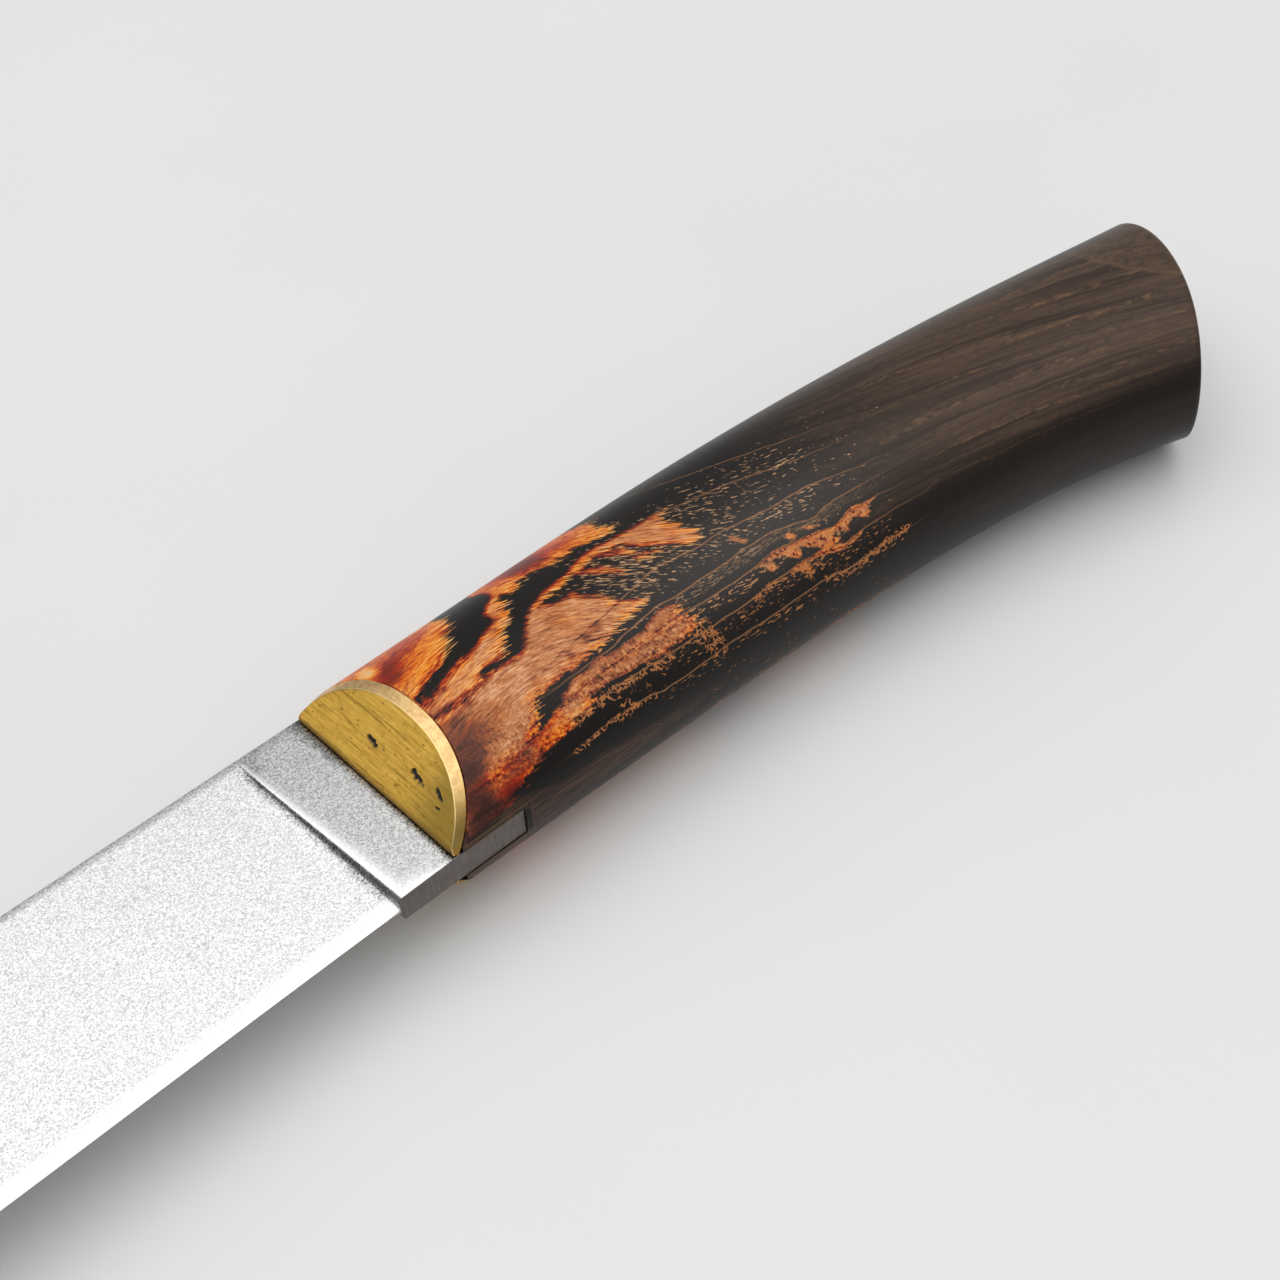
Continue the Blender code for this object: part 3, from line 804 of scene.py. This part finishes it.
def skin_points(points):
    """Millimetres along, degrees round from the spine on either side, the side, and the share
    of the way out from the middle to the skin."""
    x, y, z = points.T
    laws = (grip_axis, grip_height, grip_width)
    axis, height, width = [np.array([law(v) for v in x]) for law in laws]
    up = (y - axis) / (height / 2)
    out = z / (width / 2)
    across = np.abs(out) ** (SECTION_POWER / 2)
    along = np.sign(up) * np.abs(up) ** (SECTION_POWER / 2)
    share = np.hypot(across, along) ** (2 / SECTION_POWER)
    return x * 1000, np.degrees(np.arctan2(across, along)), np.sign(out), share


def line_distance(px, py, line):
    """Millimetres from points to the nearest stretch of a line."""
    nearest = np.full(len(px), np.inf)
    for (ax, ay), (bx, by) in zip(line, line[1:]):
        ay, by = ay * MM_PER_DEGREE, by * MM_PER_DEGREE
        dx, dy = bx - ax, by - ay
        share = np.clip(((px - ax) * dx + (py - ay) * dy) / (dx * dx + dy * dy), 0, 1)
        nearest = np.minimum(nearest, np.hypot(px - ax - share * dx, py - ay - share * dy))
    return nearest


def outline_depth(px, py, outline):
    """Millimetres inside a closed outline; outside it is negative."""
    closed = outline + outline[:1]
    inside = np.zeros(len(px), bool)
    for (ax, ay), (bx, by) in zip(closed, closed[1:]):
        ay, by = ay * MM_PER_DEGREE, by * MM_PER_DEGREE
        crosses = (ay > py) != (by > py)
        slope = (bx - ax) / (by - ay) if by != ay else 0
        inside ^= crosses & (px < ax + (py - ay) * slope)
    nearest = line_distance(px, py, closed)
    return np.where(inside, nearest, -nearest)


def warm_depth(px, py):
    return np.max([outline_depth(px, py, outline) for outline in WARM_PATCHES], axis=0)


def dip_share(degrees):
    """The share of their dip that the fibres keep; near the belly it is small."""
    return 1 - 0.85 * ease(degrees, 118, 128)


def fibre_drop(px, degrees):
    """Millimetres that the fibres have dipped along the handle."""
    steps = np.linspace(-10, 140, 601)
    dip = np.interp(steps, *zip(*FIBRE_DIPS))
    drop = np.concatenate([[0], np.cumsum((dip[1:] + dip[:-1]) / 2 * np.diff(steps))])
    return np.interp(px, steps, drop) * dip_share(degrees)


def growth_layers(px, degrees):
    """Growth layers, whole along each line, and the millimetres between lines."""
    lines = [np.interp(px, *zip(*line)) for line in GROWTH_LINES]
    degrees_outside = 14
    layer = np.minimum((degrees - lines[0]) / degrees_outside, 0)
    gap = np.full(len(px), degrees_outside)
    for upper, lower in zip(lines, lines[1:]):
        layer = layer + np.clip((degrees - upper) / (lower - upper), 0, 1)
        gap = np.where((degrees >= upper) & (degrees < lower), lower - upper, gap)
    layer = layer + np.maximum((degrees - lines[-1]) / degrees_outside, 0)
    return layer, gap * MM_PER_DEGREE


def tones(px, py):
    total = np.full(len(px), 0.72)
    for x, degrees, radius, tone, weight in TONE_SPOTS:
        near = np.hypot(px - x, py - degrees * MM_PER_DEGREE) / radius
        total = total + (tone - total) * weight * np.exp(-near ** 3)
    # Darker towards the spine: painted shade that offsets the reflection on that side.
    return total - 0.14 * fade(py, 11.5, 16)


def fires(px, py):
    total = np.full(len(px), 0.08)
    for x, degrees, radius, share in FIRE_SPOTS:
        near = np.hypot(px - x, py - degrees * MM_PER_DEGREE) / radius
        total = np.maximum(total, share * np.exp(-near ** 4))
    return total


def laces(px, py):
    spread = ease(py, 34.5, 36.5) * fade(py, 39, 42) * ease(px, 18, 26) * fade(px, 64, 76)
    best = 0.12 * spread
    for line, half_width in LACE_BANDS:
        reach = line_distance(px, py, line)
        best = np.maximum(best, fade(reach, half_width * 0.5, half_width * 1.8))
    return best


def wander(points, scale, seed):
    """Slow noise at points; scale is in waves per millimetre."""
    shift = Vector((seed * 7.3, seed * 3.1, seed * 5.7))
    return np.array([noise.noise(Vector(p) * (1000 * scale) + shift) for p in points])


def wandered(points, px, degrees, side):
    """Let the figure wander, and make the right side and the spine differ."""
    right = np.where(side < 0, np.sin(np.radians(degrees)) ** 2, 0)
    spine = fade(degrees, 20, 48)
    px = px + 0.2 * wander(points, 0.4, 1) + right * (3 + 3 * wander(points, 0.06, 2))
    px = px + spine * 5 * wander(points, 0.1, 7)
    degrees = degrees + 0.8 * wander(points, 0.4, 3) + right * 14 * wander(points, 0.06, 4)
    degrees = degrees + spine * 12 * wander(points, 0.11, 8)
    return px, degrees


def paint_warm(mesh, px, degrees):
    """Warm patches: depth inside them, where they fray, and their colour."""
    py = degrees * MM_PER_DEGREE
    step = 0.3
    dip = np.interp(px, *zip(*FIBRE_DIPS)) * dip_share(degrees)
    depth = warm_depth(px, py)
    ahead = warm_depth(px + step, py + step * dip)
    store(
        mesh,
        figure=np.clip(depth, -5, 5),
        fringe=ease(depth - ahead, -0.08, 0.18) * (1 - 0.75 * ease(px, 46, 50)),
        charred=fade(px, 43, 48),
        tone=tones(px, py),
        fire=fires(px, py),
        pebble=ease(degrees, 112, 124),
        porous=ease(degrees + 0.5 * px, 145, 150),
    )


def paint_black(mesh, px, degrees, layer):
    """Black wood: growth lines, flecks, curled pores, a painted sheen, brown fibres."""
    seen = ease(px, 14, 30) * fade(px, 60, 76) * fade(degrees, 158, 166) * ease(layer, -0.5, -0.3)
    fleck = ease(px, 24, 36) * fade(px, 60, 80) * ease(degrees, 56, 84)
    fleck = fleck * (1 - 0.6 * ease(layer % 1, 0.45, 0.8) * ease(degrees, 100, 106))
    thick = np.exp(-((px - 37) / 7) ** 2 - ((degrees - 92) / 9) ** 2)
    fleck = fleck * (1 - 0.5 * ease(degrees, 160, 174)) + 0.2 * thick
    store(
        mesh,
        seen=seen * np.where(layer < 1.5, 0.6 * ease(px, 44, 48), 1),
        fleck=fleck * (1 - 0.22 * ease(px, 44, 56) * fade(degrees, 100, 112)),
        lace=laces(px, degrees * MM_PER_DEGREE),
        sheen=np.exp(-((px - 54) / 22) ** 2 - ((degrees - 116) / 27) ** 2),
        umber=ease(degrees - np.interp(px, *zip(*UMBER_BOUND)), 0, 5) * fade(px, 24, 46),
    )


def paint_brown(mesh, points, px, degrees, end):
    """Brown wood: painted light and shade, its veins and the pale corner at the butt."""
    rear = ease(px, 56, 92)
    # Painted shade: darker towards the spine and nearly black at the belly; the butt's end is evenly
    # lit.
    light = (0.4 + 0.6 * ease(degrees, 30, 66)) * (1 - 0.92 * ease(degrees + 0.06 * px, 138, 158))
    light = light + (0.85 - light) * end
    corner = outline_depth(px, degrees * MM_PER_DEGREE, PALE_CORNER) + 0.4 * wander(points, 0.25, 6)
    pale = ease(corner, -0.3, 0.5) * ease(degrees, 34, 60) * (1 - end)
    brink = np.exp(-((corner - 0.1) / 0.35) ** 2) * ease(degrees, 40, 70) * (1 - end)
    store(mesh, rear=rear, light=light, veins=rear * light * (1 - end), pale=pale, brink=brink)


def paint_figure(mesh):
    """Paint the slow parts of the figure; the material adds the fine grain."""
    points = mesh_points(mesh)
    px, degrees, side, share = skin_points(points)
    end = fade(share, 0.93, 0.995) * ease(px, 90, 100)
    px, degrees = wandered(points, px, degrees, side)
    layer, gap = growth_layers(px, degrees)
    fibre = points * 1000
    fibre[:, 1] += fibre_drop(px, degrees)
    pith_height = 0.045
    rings_per_metre = 900
    rings = np.hypot(points[:, 1] - pith_height, points[:, 2]) * rings_per_metre
    grain = np.stack([px, layer * 3 + (rings - layer * 3) * end, side * (1 - end)], axis=1)
    store(mesh, layer=layer, gap=gap, fibre=fibre, grain=grain)
    paint_warm(mesh, px, degrees)
    paint_black(mesh, px, degrees, layer)
    paint_brown(mesh, points, px, degrees, end)


# Materials


def wire(socket, value):
    """Link a signal to a socket, or give the socket a value of its own."""
    if isinstance(value, Signal):
        socket.id_data.links.new(value.socket, socket)
    elif socket.type == "RGBA":
        socket.default_value = (*value, 1)
    else:
        socket.default_value = value


def add_node(tree, kind, inputs, output, **settings):
    node = tree.nodes.new("ShaderNode" + kind)
    for key, value in settings.items():
        setattr(node, key, value)
    for key, value in inputs.items():
        wire(node.inputs[key], value)
    return Signal(node.outputs[output])


class Signal:
    """An output of a node, with arithmetic and calls that add the next node."""

    def __init__(self, socket):
        self.socket = socket

    def add(self, kind, inputs, output, **settings):
        return add_node(self.socket.id_data, kind, inputs, output, **settings)

    def math(self, operation, other=0):
        return self.add("Math", {0: self, 1: other}, "Value", operation=operation)

    def __add__(self, other):
        return self.math("ADD", other)

    def __sub__(self, other):
        return self.math("SUBTRACT", other)

    def __rsub__(self, other):
        return self.add("Math", {0: other, 1: self}, "Value", operation="SUBTRACT")

    def __mul__(self, other):
        return self.math("MULTIPLY", other)

    __radd__ = __add__
    __rmul__ = __mul__

    def axis(self, name):
        return self.add("SeparateXYZ", {"Vector": self}, name)

    def noise(self, scale, detail=3, rough=0.55, twist=0):
        """Cloudy noise; scale is one number, or one for each axis."""
        place = self
        if isinstance(scale, tuple):
            place = self.add("VectorMath", {0: self, 1: scale}, "Vector", operation="MULTIPLY")
            scale = 1
        inputs = {"Vector": place, "Scale": scale, "Detail": detail, "Roughness": rough}
        return self.add("TexNoise", {**inputs, "Distortion": twist}, "Fac")

    def span(self, low, high, start=0, end=1, kind="SMOOTHSTEP"):
        inputs = {"Value": self, "From Min": low, "From Max": high, "To Min": start, "To Max": end}
        return self.add("MapRange", inputs, "Result", interpolation_type=kind)

    def mix(self, first, second):
        """Mix two colours, which have sockets of their own."""
        return self.add("Mix", {0: self, 6: first, 7: second}, 2, data_type="RGBA")

    def ramp(self, stops):
        ramped = self.add("ValToRGB", {"Fac": self}, "Color")
        band = ramped.socket.node.color_ramp
        while len(band.elements) < len(stops):
            band.elements.new(0.5)
        for element, (place, colour) in zip(band.elements, stops):
            element.position = place
            element.color = (*colour, 1)
        return ramped

    def bump(self, distance, strength, **under):
        inputs = {"Height": self, "Distance": distance, "Strength": strength}
        return self.add("Bump", {**inputs, **under}, "Normal")


class Shader:
    """The nodes of a material or world."""

    def __init__(self, owner, surface="Principled BSDF"):
        owner.use_nodes = True
        self.owner = owner
        self.surface = owner.node_tree.nodes[surface]

    def value(self, name, kind="Fac"):
        return add_node(self.owner.node_tree, "Attribute", {}, kind, attribute_name=name)

    def place(self, kind="Object"):
        return add_node(self.owner.node_tree, "TexCoord", {}, kind)

    def set(self, **sockets):
        for key, value in sockets.items():
            wire(self.surface.inputs[key.replace("_", " ")], value)
        return self.owner


def new_look(name):
    return Shader(bpy.data.materials.new(name))


def blasted_steel():
    look = new_look("blasted_steel_look")
    place = look.place()
    polish = look.value("polish")
    grit = place.noise(5400, 1) * 0.6 + place.noise(3200, 1) * 0.4
    cloud = place.noise(420, 4, 0.65)
    shade = grit.span(0.3, 0.7)
    bright = shade.mix((0.4, 0.4, 0.395), (0.87, 0.87, 0.865))
    # Darker colours where grime and painted shade lie, by the bolster and at the foot of the plunge.
    dirty = shade.mix((0.012, 0.012, 0.012), (0.26, 0.26, 0.26))
    stain = (look.value("soil") * 1.25 - (grit * 0.7 + cloud * 0.6)).span(-0.45, 0.55)
    base = stain.mix(bright, dirty)
    # Brighter where the edge bevel is rubbed, and painted highlights on the ricasso's front and belly
    # edges.
    base = (polish * 0.6).mix(base, (0.84, 0.84, 0.83))
    rough = 0.19 + grit * 0.14 - polish * 0.04
    normal = grit.bump(0.00003, 0.2)
    return look.set(Base_Color=base, Metallic=1, Roughness=rough, Normal=normal)


def ground_steel():
    look = new_look("ground_steel_look")
    place = look.place()
    marks = place.noise((3000, 3000, 240), 3, 0.7)
    cloud = place.noise(420)
    # A ground finish, darkened as painted shade of the downward-facing heel wall.
    base = marks.span(0.25, 0.75).mix((0.125, 0.107, 0.098), (0.21, 0.187, 0.175))
    base = cloud.span(0.45, 0.7, 0, 0.4).mix(base, (0.13, 0.105, 0.095))
    rough = marks.span(0.2, 0.8, 0.38, 0.55)
    normal = marks.bump(0.00005, 0.4)
    return look.set(Base_Color=base, Metallic=1, Roughness=rough, Normal=normal)


def brushed_brass():
    look = new_look("brushed_brass_look")
    place = look.place()
    pit = look.value("pit")
    rim = look.value("rim")
    strokes = place.noise((4200, 252, 4200), 3, 0.65)
    scuffs = place.noise((1700, 306, 1700), 4, 0.6)
    scratches = place.noise((2600, 104, 2600), 2, 0.5, 0.2)
    specks = place.noise((2300, 1035, 2300), 2)
    stains = place.noise(1100, 4, 0.7)
    patina = place.noise(230, 4)
    base = strokes.span(0.25, 0.75).mix((0.54, 0.295, 0.044), (0.92, 0.58, 0.115))
    base = patina.span(0.35, 0.75, 0, 0.5).mix(base, (0.7, 0.44, 0.065))
    base = stains.span(0.5, 0.75, 0, 0.6).mix(base, (0.42, 0.25, 0.045))
    base = specks.span(0.6, 0.72, 0, 0.75).mix(base, (0.27, 0.14, 0.025))
    base = scratches.span(0.58, 0.7, 0, 0.75).mix(base, (0.33, 0.19, 0.03))
    # Painted highlight on the rim: a light, mottled peach colour.
    blush = stains.span(0.38, 0.62).mix((0.87, 0.6, 0.29), (0.66, 0.42, 0.2))
    base = (rim * 0.85).mix(base, blush)
    # Darker towards the belly: painted shade on the lower side, with patina mottling, and less on the
    # rim.
    height = place.axis("Y")
    tarnish = height.span(-0.003, -0.0115) + patina * 0.5
    tarnish = tarnish - rim * height.span(-0.013, -0.008, 0.1, 0.9)
    base = tarnish.span(0.25, 1.3, 0, 0.8).mix(base, (0.3, 0.2, 0.04))
    # The lip at the ricasso is darkened: painted shade.
    base = (look.value("lip") * 0.8).mix(base, (0.36, 0.19, 0.045))
    # Painted highlight along the inner edge of the rim.
    base = (rim * (1 - rim) * 3.2).mix(base, (0.95, 0.76, 0.42))
    base = pit.mix(base, (0.004, 0.0035, 0.003))
    rough = 0.28 + scuffs * 0.2 + pit * 0.4
    normal = scuffs.bump(0.00006, 0.3, Normal=strokes.bump(0.00004, 0.35))
    return look.set(Base_Color=base, Metallic=1 - pit, Roughness=rough, Normal=normal)


# Colours of the warm wood by its tone, dusty and clear
DUSTY_TONES = (
    (0, (0.012, 0.005, 0.004)),
    (0.2, (0.085, 0.026, 0.016)),
    (0.4, (0.25, 0.07, 0.027)),
    (0.58, (0.43, 0.145, 0.05)),
    (0.76, (0.57, 0.23, 0.095)),
    (1, (0.78, 0.42, 0.24)),
)

FIERY_TONES = (
    (0, (0.016, 0.004, 0.003)),
    (0.2, (0.15, 0.009, 0.004)),
    (0.4, (0.4, 0.026, 0.003)),
    (0.58, (0.68, 0.125, 0.006)),
    (0.8, (0.86, 0.3, 0.025)),
    (1, (0.93, 0.48, 0.13)),
)


def wood_grain(look):
    """Noises that run along the fibres, from single hairs to slow waves."""
    fibre = look.value("fibre", "Vector")
    hair = fibre.noise((0.75, 4.6, 4.6), 2, 0.65, 0.7)
    pebbles = fibre.noise(2.4, 2, 0.6, 0.4)
    return SimpleNamespace(
        fibre=fibre,
        hair=hair + (pebbles - hair) * look.value("pebble"),
        strand=fibre.noise((0.2, 4.2, 4.2), 1),
        lock=fibre.noise((0.25, 1.3, 1.3), 2, 0.55, 0.4),
        lump=fibre.noise((0.7, 2.1, 2.1), 3, 0.6, 1),
        mottle=fibre.noise((0.7, 1.4, 1.4), 3, 0.65),
        slow=fibre.noise((0.04, 0.3, 0.3)),
    )


def frayed_patches(look, wood):
    """Depth inside the warm patches and their cover, frayed by the fibres."""
    figure = look.value("figure")
    fringe = look.value("fringe")
    edge = figure + (wood.hair * 1.1 + wood.lock * 0.9 - 1) * (fringe * 2.4 + 0.3)
    wisp = (figure + (wood.strand - 0.56) * (fringe * 9)).span(-0.1, 0.5, 0, 0.75)
    notch = (figure + (wood.strand - 0.42) * (fringe * 10)).span(-0.35, 0.25)
    cover = edge.span(-0.14, 0.2).math("MAXIMUM", wisp)
    return edge, cover * (1 - fringe * (1 - notch))


def growth_line(look, wood):
    ring = look.value("layer").math("PINGPONG", 0.5) * look.value("gap") + (wood.hair - 0.5) * 0.2
    return ring.span(0.04, 0.17, 1, 0) * look.value("seen")


def warm_wood(look, wood, edge, line):
    """Tan and orange wood: tone picks a colour, and fire makes it clearer."""
    figure = look.value("figure")
    fringe = look.value("fringe")
    pebble = look.value("pebble")
    charred = look.value("charred")
    tone = look.value("tone")
    lively = tone.span(0.15, 0.65, 0.25, 1.2) * charred.span(0, 1, 0.55, 1)
    tone = tone + (wood.hair - 0.5) * lively + (wood.lock - 0.5) * 0.35
    tone = tone + (wood.lump - 0.5) * (lively * 0.55)
    bare = fringe * figure.span(0, 4, 1.7, 0) * (1 - pebble)
    rim = (1 - fringe) * edge.span(0, 0.8, 0.6, 0) * pebble.span(0, 1, 1, 0.4)
    rim = rim * (0.15 + charred * 0.85)
    tone = tone + (wood.strand - 0.5) * bare - rim - line * 0.3
    pore = wood.fibre.noise(2.1, 1).span(0.58, 0.68) * look.value("porous")
    tone = tone - pore * tone.span(0.25, 0.5, 0, 0.45)
    golden = fringe * figure.span(0, 2.2, 0.5, 0)
    fire = look.value("fire") + golden + rim * 0.8 + (wood.lock - 0.5) * 1.2
    base = fire.span(0, 1).mix(tone.ramp(DUSTY_TONES), tone.ramp(FIERY_TONES))
    return tone.span(0.95, 1.25, 0, 0.85).mix(base, (0.66, 0.43, 0.28))


def dark_wood(look, wood, line):
    """Black wood at the front with a painted sheen, and brown wood with veins and painted shade at the
    rear.
    """
    grain = look.value("grain", "Vector")
    broad = grain.noise((0.03, 0.75, 1), 2, 0.5, 0.3)
    streaks = grain.noise((0.05, 2.6, 1), 3, 0.6)
    brown = broad.span(0.34, 0.64).mix((0.034, 0.02, 0.014), (0.082, 0.05, 0.033))
    brown = streaks.span(0.45, 0.7, 0, 0.5).mix(brown, (0.125, 0.072, 0.042))
    brown = wood.mottle.span(0.34, 0.54, 0.4, 0).mix(brown, (0.03, 0.018, 0.013))
    # Painted shade on the brown wood, towards the spine and the belly.
    brown = look.value("light").mix((0.009, 0.006, 0.0045), brown)
    # Painted sheen: the black is lighter where a reflection lies on the side.
    black = look.value("sheen").mix((0.0075, 0.0055, 0.0046), (0.044, 0.038, 0.035))
    dark = look.value("rear").mix(black, brown)
    fibrous = look.value("umber") * wood.strand.span(0.36, 0.64, 0.15, 1)
    dark = fibrous.mix(dark, (0.07, 0.032, 0.02))
    ripple = (look.value("layer") * 0.9 + wood.slow * 1.6).math("PINGPONG", 0.5)
    vein = ripple.span(0, 0.09, 1, 0) * wood.mottle.span(0.38, 0.66) * look.value("veins")
    dark = (vein * 0.6).mix(dark, (0.2, 0.11, 0.052))
    return (line * 0.85).mix(dark, wood.hair.mix((0.14, 0.055, 0.022), (0.42, 0.21, 0.095)))


def flecked_wood(look, wood, dark):
    """Add flecks along the fibres, and tufts of curled pores."""
    dash = wood.fibre.noise((1.15, 4.9, 4.7), 1)
    limit = 0.8 - look.value("fleck") * 0.21 + (wood.lock - 0.5) * 0.3
    tint = look.value("layer").span(3.6, 5).mix((0.5, 0.29, 0.15), (0.38, 0.16, 0.055))
    dark = (dash - limit).span(0, 0.07).mix(dark, tint)
    lace = look.value("lace")
    curl = (wood.fibre.noise(1.5, 1, 0.5, 0.5) - 0.5).math("ABSOLUTE")
    curl = (curl - (0.018 + lace * 0.045)).span(-0.015, 0.02, 1, 0)
    tuft = (wood.fibre.noise(0.8, 2) + lace * 0.4).span(0.6, 0.72) * lace.span(0.02, 0.2)
    return (curl * tuft).mix(dark, wood.hair.mix((0.22, 0.065, 0.018), (0.6, 0.24, 0.08)))


def butt_wood(look, wood, dark):
    """Add the pale corner at the butt."""
    pale = wood.mottle.span(0.35, 0.65).mix((0.056, 0.034, 0.022), (0.1, 0.061, 0.037))
    dark = (look.value("pale") * 0.85).mix(dark, pale)
    return (look.value("brink") * 0.6).mix(dark, (0.15, 0.085, 0.042))


def figured_wood():
    look = new_look("figured_wood_look")
    wood = wood_grain(look)
    edge, cover = frayed_patches(look, wood)
    line = growth_line(look, wood)
    dark = dark_wood(look, wood, line)
    dark = flecked_wood(look, wood, dark)
    dark = butt_wood(look, wood, dark)
    base = cover.mix(dark, warm_wood(look, wood, edge, line))
    rough = 0.31 + wood.hair * 0.12
    normal = wood.hair.bump(0.00002, 0.25)
    return look.set(Base_Color=base, Roughness=rough, Normal=normal, Specular_IOR_Level=0.2)


def amber_resin():
    look = new_look("amber_resin_look")
    place = look.place()
    cloud = place.noise(900, 4)
    dust = place.noise(3600, 2)
    aside = place.axis("Z").math("ABSOLUTE")
    # Painted highlight: lighter towards the seam's outer edge, beside the wood.
    outer = aside.span(HALF_THICKNESS + 0.0003, HALF_THICKNESS + 0.0006, 0, 0.7)
    behind = place.axis("X").span(HEEL_DEPTH - 0.00005, HEEL_DEPTH + 0.00005)
    within = aside.span(0.0015, HALF_THICKNESS + 0.0001, 1, 0)
    base = cloud.span(0.35, 0.65).mix((0.024, 0.012, 0.006), (0.06, 0.032, 0.015))
    base = outer.mix(base, (0.12, 0.066, 0.03))
    base = dust.span(0.6, 0.75, 0, 0.5).mix(base, (0.2, 0.12, 0.06))
    base = (behind * within).mix(base, (0.006, 0.004, 0.003))
    rough = cloud.span(0.3, 0.7, 0.3, 0.5)
    normal = cloud.bump(0.0001, 0.4)
    return look.set(Base_Color=base, Roughness=rough, Normal=normal, Specular_IOR_Level=0.2)


def floor_look():
    look = new_look("studio_floor")
    cloud = look.place().noise(6)
    base = cloud.span(0.3, 0.7).mix((0.79, 0.79, 0.785), (0.82, 0.82, 0.815))
    return look.set(Base_Color=base, Roughness=0.75)


# Stage


def make_floor():
    form = bmesh.new()
    bmesh.ops.create_grid(form, x_segments=2, y_segments=2, size=FLOOR_HALF)
    mesh = form_mesh("floor", form)
    mesh.materials.append(floor_look())
    floor = link("floor", mesh)


def make_camera():
    lens = bpy.data.cameras.new("camera")
    lens.sensor_width = SENSOR_MM
    lens.sensor_fit = "HORIZONTAL"
    lens.lens = FOCAL_PIXELS / PICTURE_SIDE * SENSOR_MM
    lens.clip_start = CLIP_START
    camera = link("camera", lens)
    right = CAMERA_RIGHT.normalized()
    back = right.cross(CAMERA_UP).normalized()
    up = back.cross(right)
    turn = Matrix((right, up, back)).transposed().to_4x4()
    camera.matrix_world = Matrix.Translation(CAMERA_PLACE + ROOT) @ turn
    bpy.context.scene.camera = camera


def make_softbox(name, place, turn, size, power):
    lamp = bpy.data.lights.new(name, "AREA")
    lamp.shape = "RECTANGLE"
    lamp.size, lamp.size_y = size
    lamp.energy = power
    item = link(name, lamp)
    item.location = place
    item.rotation_euler = turn


def make_light():
    above = (0.0, 0.0, radians(62))
    make_softbox("ceiling", (-0.02, -0.03, 1.0), above, size=(1.62, 1.6), power=8.6)
    place = Vector((-0.62, 0.42, 0.26))
    aside = (ROOT - place).to_track_quat("-Z", "Y").to_euler()
    make_softbox("side", place, aside, size=(0.5, 0.4), power=0.33)


def make_world():
    """A room that is brighter towards its ceiling."""
    look = Shader(bpy.data.worlds.new("studio"), "Background")
    upward = look.place("Generated").axis("Z")
    strength = upward.span(0.0, 0.8, 0.3, 0.55, "LINEAR")
    bpy.context.scene.world = look.set(Color=(1.0, 1.0, 1.0), Strength=strength)


def main():
    brass = brushed_brass()
    place_piece(make_blade(), "steel", "blade", blasted_steel(), ground_steel())
    place_piece(make_bolster("bolster_plate_left", 1), "brass", "bolster_left", brass)
    place_piece(make_bolster("bolster_plate_right", -1), "brass", "bolster_right", brass)
    handle, resin = make_handle_and_resin()
    place_piece(handle, "wood", "handle", figured_wood())
    place_piece(resin, "resin", "epoxy_bed", amber_resin())
    for name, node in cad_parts.items():
        if name.startswith("pin_"):
            node.data.materials.clear()
            node.data.materials.append(brass)
    make_floor()
    make_camera()
    make_world()
    make_light()
    bpy.context.scene.view_settings.view_transform = "Standard"


main()
bpy.context.view_layer.update()
